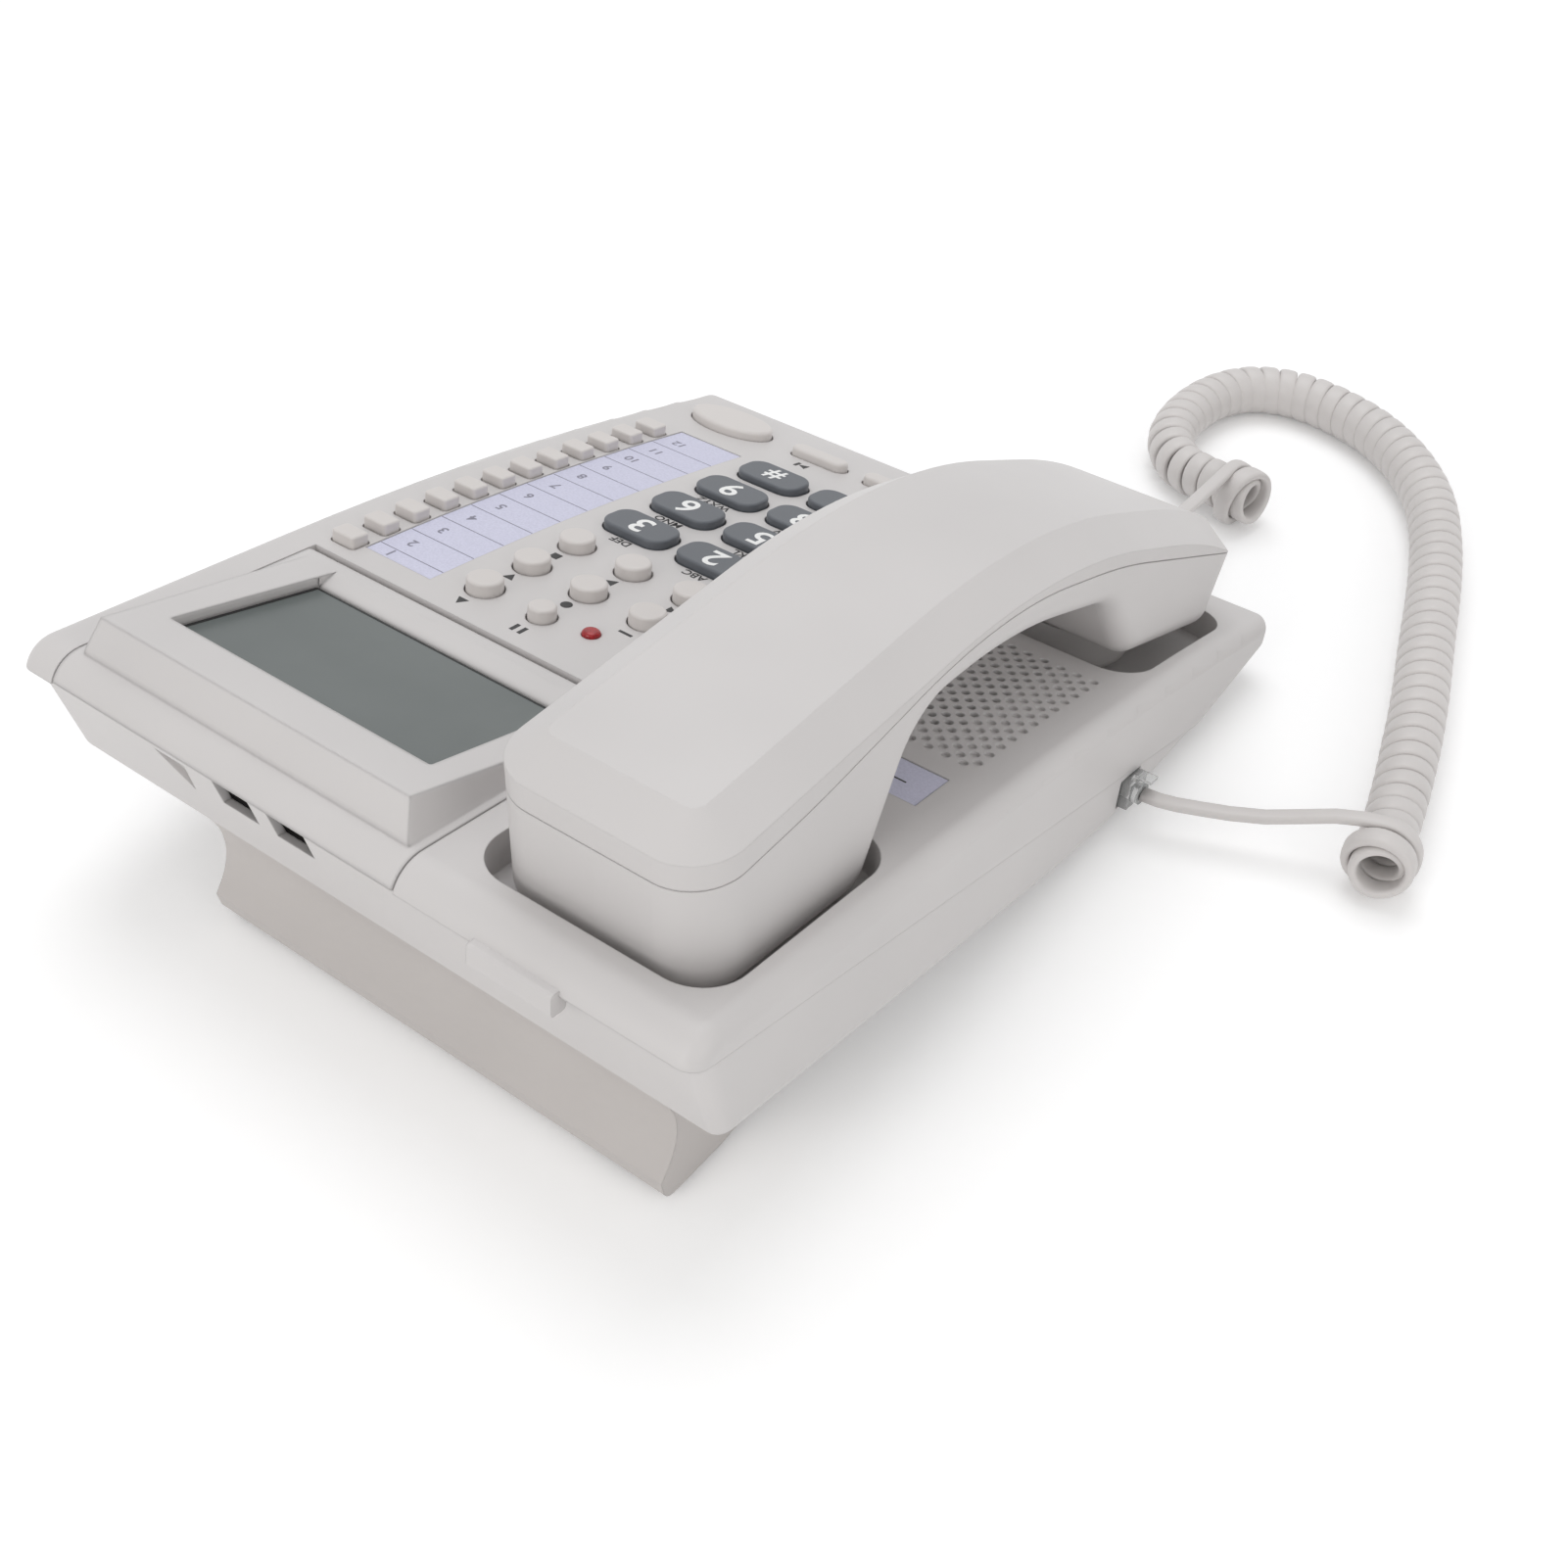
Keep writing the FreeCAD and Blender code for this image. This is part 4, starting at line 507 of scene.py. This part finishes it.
def ruling_tree():
    """Thin rules laid on points, each leaning with the card under it."""
    tree = bpy.data.node_groups.new("card_ruling", "GeometryNodeTree")
    tree.interface.new_socket("Geometry", in_out="INPUT", socket_type="NodeSocketGeometry")
    for socket in ("Rule length", "Rule width"):
        tree.interface.new_socket(socket, in_out="INPUT", socket_type="NodeSocketFloat")
    tree.interface.new_socket("Finish", in_out="INPUT", socket_type="NodeSocketMaterial")
    tree.interface.new_socket("Geometry", in_out="OUTPUT", socket_type="NodeSocketGeometry")
    given = tree.nodes.new("NodeGroupInput")
    result = tree.nodes.new("NodeGroupOutput")
    size = tree.nodes.new("ShaderNodeCombineXYZ")
    size.inputs["Z"].default_value = INK
    rule = tree.nodes.new("GeometryNodeMeshCube")
    points = tree.nodes.new("GeometryNodeMeshToPoints")
    lean = tree.nodes.new("GeometryNodeInputNamedAttribute")
    lean.inputs["Name"].default_value = "lean"
    turn = tree.nodes.new("ShaderNodeCombineXYZ")
    lay = tree.nodes.new("GeometryNodeInstanceOnPoints")
    real = tree.nodes.new("GeometryNodeRealizeInstances")
    paint = tree.nodes.new("GeometryNodeSetMaterial")
    link = tree.links.new
    link(given.outputs["Rule length"], size.inputs["X"])
    link(given.outputs["Rule width"], size.inputs["Y"])
    link(size.outputs["Vector"], rule.inputs["Size"])
    link(given.outputs["Geometry"], points.inputs["Mesh"])
    link(points.outputs["Points"], lay.inputs["Points"])
    link(rule.outputs["Mesh"], lay.inputs["Instance"])
    link(lean.outputs["Attribute"], turn.inputs["X"])
    link(turn.outputs["Vector"], lay.inputs["Rotation"])
    link(lay.outputs["Instances"], real.inputs["Geometry"])
    link(real.outputs["Geometry"], paint.inputs["Geometry"])
    link(given.outputs["Finish"], paint.inputs["Material"])
    link(paint.outputs["Geometry"], result.inputs["Geometry"])
    return tree


def rule_card(on_paper, lines):
    spots = [on_paper(CARD["x"], y) for y in lines]
    points = bpy.data.meshes.new("card_rules")
    points.from_pydata([spot.translation for spot in spots], [], [])
    leans = points.attributes.new("lean", "FLOAT", "POINT")
    for i, spot in enumerate(spots):
        leans.data[i].value = spot.to_euler().x
    holder = bpy.data.objects.new("card_rules_points", points)
    modifier = holder.modifiers.new("ruling", "NODES")
    modifier.node_group = ruling_tree()
    wanted = {"Rule length": CARD["width"] * MM, "Rule width": RULE, "Finish": GREY_INK}
    for item in modifier.node_group.interface.items_tree:
        if item.in_out == "INPUT" and item.name in wanted:
            modifier[item.identifier] = wanted[item.name]
    add_piece("card_rules", baked(holder), "base", GREY_INK)


def print_card():
    on_paper = surface_finder("paper_labels")
    rows = [case_spot(key_face(f"memory_key_{i}"))[1] for i in range(1, MEMORY_KEYS + 1)]
    rule_card(on_paper, [(above + below) / 2 for above, below in zip(rows, rows[1:])])
    column = CARD["x"] + CARD["width"] / 2 - NUMBER_INSET
    for i, y in enumerate(rows, start=1):
        place = on_paper(column, min(y, CARD["rear"] - NUMBER_MARGIN))
        name = f"card_number_{i}"
        mesh = printed(name, str(i), NUMBER_SIZE, place, NUMBER_WEIGHT)
        add_piece(name, mesh, "base", GREY_INK)


def print_label():
    on_paper = surface_finder("paper_labels")
    name = "label_rule"
    place = on_paper(LABEL["x"], LABEL["y"])
    length, width = LABEL_RULE["length"], LABEL_RULE["width"]
    outline = bar(-length / 2, -width / 2, length, width)
    add_piece(name, slab(name, [outline], [place]), "base", BLACK_INK)


# Dark strip round the display, inside the window: partly the screen's black mask border, partly painted
# shade in the crease at the foot of the window walls
WINDOW = {"left": -8.5, "right": 65.4, "front": 165.7, "rear": 204.0}
MASK_SHADE_WIDTH = 0.9
MASK_SHADE_UNDER = 0.15
PROBE_INSET = 1.0


def fit_gasket():
    on_screen = surface_finder("lcd_panel")
    left, right, front, rear = (WINDOW[side] for side in ("left", "right", "front", "rear"))
    middle = on_screen((left + right) / 2, (front + rear) / 2)
    flat = middle.inverted()

    def corner(x, y):
        spot = flat @ on_screen(x, y).translation
        return spot.x, spot.y

    low = corner(left + PROBE_INSET, front + PROBE_INSET)
    high = corner(right - PROBE_INSET, rear - PROBE_INSET)
    edge = PROBE_INSET * MM
    x0, y0, x1, y1 = low[0] - edge, low[1] - edge, high[0] + edge, high[1] + edge
    under, wide = MASK_SHADE_UNDER * MM, MASK_SHADE_WIDTH * MM
    strips = [
        bar(x0 - under, y0 - under, x1 - x0 + 2 * under, wide + under),
        bar(x0 - under, y1 - wide, x1 - x0 + 2 * under, wide + under),
        bar(x0 - under, y0 + wide, wide + under, y1 - y0 - 2 * wide),
        bar(x1 - wide, y0 + wide, wide + under, y1 - y0 - 2 * wide),
    ]
    mesh = slab("display_mask_and_painted_shade", strips, [middle] * len(strips))
    add_piece("display_mask_and_painted_shade", mesh, "display", MASK_AND_PAINTED_SHADE)


# Curly cord
COIL_ROUTE = (
    (-144.3, 61.6), (-139.5, 40.0), (-134.0, 20.0), (-128.0, 0.0), (-120.5, -21.0), (-113.5, -42.0),
    (-106.0, -62.0), (-96.0, -82.5), (-83.0, -97.5), (-69.0, -107.5), (-54.0, -112.5), (-40.0, -113.5),
    (-28.0, -108.5), (-21.5, -97.0), (-20.0, -82.0), (-23.0, -68.0), (-31.0, -58.5), (-43.0, -54.5),
    (-57.0, -51.4),
)
COIL_RADIUS = 5.7 * MM
END_RADIUS = 5.1 * MM
LOOP_RADIUS = 7.4 * MM
LOOP_TURNS = 1.5
CLIMB_TURNS = 0.4
COIL_TURNS = 60
NARROW_TURNS = 9
RAISED_RUN = (9 * MM, 24 * MM)
TABLE_GAP = 0.2 * MM
ROUTE_STEPS = 24
HEADING_STEP = 1 * MM
SPOTS_PER_TURN = 20
BASE_EXIT = (-92.5, 68.0, -28.6)
HANDSET_EXIT = (-54.6, 5.5, -1.5)
BASE_LEAD = ((-104.0, 68.0, 9.4), (-118.0, 62.0, 9.6), (-132.0, 56.4, 14.8))
HANDSET_LEAD = ((-49.8, -43.0, 16.6), (-51.0, -29.0, 18.6), (-53.6, -14.0, 23.0))
LEAD_STRAIGHT = 4 * MM
CORD_STEPS = 2
BAND_WIDTH = 5.0 * MM
BAND_THICK = 2.2 * MM
LEAD_SHARE = 0.74
SECTION_SIDES = 14
SECTION_POWER = 2 / 3.4


def on_table(x, y, z):
    return Vector((x * MM, y * MM - STANCE_BACK, z * MM))


def spline_line(points, steps):
    """Points along the smooth curve that a route's points draw."""
    curve = bpy.data.curves.new("route", "CURVE")
    curve.dimensions = "3D"
    spline = curve.splines.new("NURBS")
    spline.points.add(len(points) - 1)
    for target, point in zip(spline.points, points):
        target.co = (*point, 1.0)
    spline.order_u = 3
    spline.use_endpoint_u = True
    spline.resolution_u = steps
    mesh = baked(bpy.data.objects.new("route", curve))
    line = [vertex.co.copy() for vertex in mesh.vertices]
    bpy.data.meshes.remove(mesh)
    return line


def coil_points():
    """The winding round the coil's middle line, with the way out from that line at each point.

    Each end has a wider loop laid back over the first turns, from which the lead runs off."""
    middle = np.array(spline_line([on_table(x, y, 0) for x, y in COIL_ROUTE], ROUTE_STEPS))
    steps = np.linalg.norm(np.diff(middle, axis=0), axis=1)
    travelled = np.concatenate(([0.0], np.cumsum(steps)))
    pitch = 1.0 / COIL_TURNS
    back = LOOP_TURNS * pitch
    loop = np.linspace(back, 0.0, int(LOOP_TURNS * SPOTS_PER_TURN), endpoint=False)
    wound = np.linspace(0.0, 1.0, COIL_TURNS * SPOTS_PER_TURN + 1)
    share = np.concatenate((loop, wound, 1.0 - loop[::-1]))
    turns = np.concatenate((-loop, wound, 1.0 + loop[::-1])) * COIL_TURNS
    near_end = np.clip(1 - np.minimum(wound, 1 - wound) / (NARROW_TURNS * pitch), 0, 1)
    climb = np.clip(loop / (CLIMB_TURNS * pitch), 0, 1)
    inner = COIL_RADIUS + (END_RADIUS - COIL_RADIUS) * near_end
    outer = END_RADIUS + (LOOP_RADIUS - END_RADIUS) * climb ** 2 * (3 - 2 * climb)
    radius = np.concatenate((outer, inner, outer[::-1]))[:, None]
    along = share * travelled[-1]

    def at(place):
        return np.stack([np.interp(place, travelled, middle[:, i]) for i in range(3)], axis=1)

    centre = at(along)
    ahead = at(np.minimum(along + HEADING_STEP, travelled[-1]))
    behind = at(np.maximum(along - HEADING_STEP, 0))
    heading = ahead - behind
    heading /= np.linalg.norm(heading, axis=1)[:, None]
    up = np.array((0.0, 0.0, 1.0))
    aside = np.cross(heading, up)
    angle = 2 * np.pi * (turns[:, None] + LOOP_TURNS)
    out = up * np.cos(angle) + aside * np.sin(angle)
    from_end = np.minimum(along, travelled[-1] - along)
    lift = np.interp(from_end, RAISED_RUN, (LOOP_RADIUS, COIL_RADIUS))
    rest = lift + BAND_THICK / 2 + TABLE_GAP
    points = centre + out * radius + up * rest[:, None]
    return [Vector(point) for point in points], [Vector(way) for way in out]


def cord_line():
    """The cord's own points, and at each the way that its thin side faces and how wide it is."""
    start = STANDING @ (Vector(BASE_EXIT) * MM)
    end = STANDING @ (Vector(HANDSET_EXIT) * MM)
    leave = Vector((-1, 0, 0))
    arrive = STANDING.to_3x3() @ Vector((0, 1, 0))
    up = Vector((0, 0, 1))
    wound, out = coil_points()
    before = [start, start + leave * LEAD_STRAIGHT] + [on_table(*spot) for spot in BASE_LEAD]
    after = [on_table(*spot) for spot in HANDSET_LEAD] + [end - arrive * LEAD_STRAIGHT, end]
    facing = [up] * len(before) + out + [up] * len(after)
    broad = np.ones(len(wound))
    ease = np.linspace(LEAD_SHARE, 1.0, SPOTS_PER_TURN)
    broad[:SPOTS_PER_TURN] = ease
    broad[-SPOTS_PER_TURN:] = ease[::-1]
    share = [LEAD_SHARE] * len(before) + list(broad) + [LEAD_SHARE] * len(after)
    return before + wound + after, facing, share


def band_section():
    """Flat band with full shoulders, thin side first."""
    section = []
    for i in range(SECTION_SIDES):
        angle = 2 * math.pi * i / SECTION_SIDES
        thin, wide = math.cos(angle), math.sin(angle)
        thin = math.copysign(abs(thin) ** SECTION_POWER, thin) * BAND_THICK / 2
        wide = math.copysign(abs(wide) ** SECTION_POWER, wide) * BAND_WIDTH / 2
        section.append((thin, wide))
    return section


def sweep(points, facing, share):
    """A closed tube of the band's section along points."""
    section = band_section()
    verts, faces = [], []
    count = len(points)
    for i, point in enumerate(points):
        ahead, behind = points[min(i + 1, count - 1)], points[max(i - 1, 0)]
        heading = (ahead - behind).normalized()
        thin = (facing[i] - heading * facing[i].dot(heading)).normalized()
        wide = heading.cross(thin)
        verts += [point + thin * a + wide * b * share[i] for a, b in section]
    for i in range(count - 1):
        low, high = i * SECTION_SIDES, (i + 1) * SECTION_SIDES
        for j in range(SECTION_SIDES):
            following = (j + 1) % SECTION_SIDES
            faces.append((low + j, low + following, high + following, high + j))
    faces.append(tuple(range(SECTION_SIDES))[::-1])
    faces.append(tuple((count - 1) * SECTION_SIDES + j for j in range(SECTION_SIDES)))
    mesh = bpy.data.meshes.new("curly_cord")
    mesh.from_pydata(verts, [], faces)
    mesh.polygons.foreach_set("use_smooth", [True] * len(mesh.polygons))
    return mesh


def lay_cord():
    points, facing, share = cord_line()
    line = spline_line(points, CORD_STEPS)
    known = range(len(points))
    places = np.linspace(0, len(points) - 1, len(line))
    ways = np.stack([np.interp(places, known, column) for column in np.array(facing).T], axis=1)
    mesh = sweep(line, [Vector(way) for way in ways], np.interp(places, known, share))
    cord = bpy.data.objects.new("curly_cord", mesh)
    bpy.context.scene.collection.objects.link(cord)
    mesh.materials.append(CORD)
    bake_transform(cord)
    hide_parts("handset_cord")


place_camera()
light_studio()
lay_floor()
dress_nodes()
lay_cord()
panel = surface_finder("top_case")
print_keys(panel)
print_signs(panel)
print_card()
print_label()
fit_gasket()
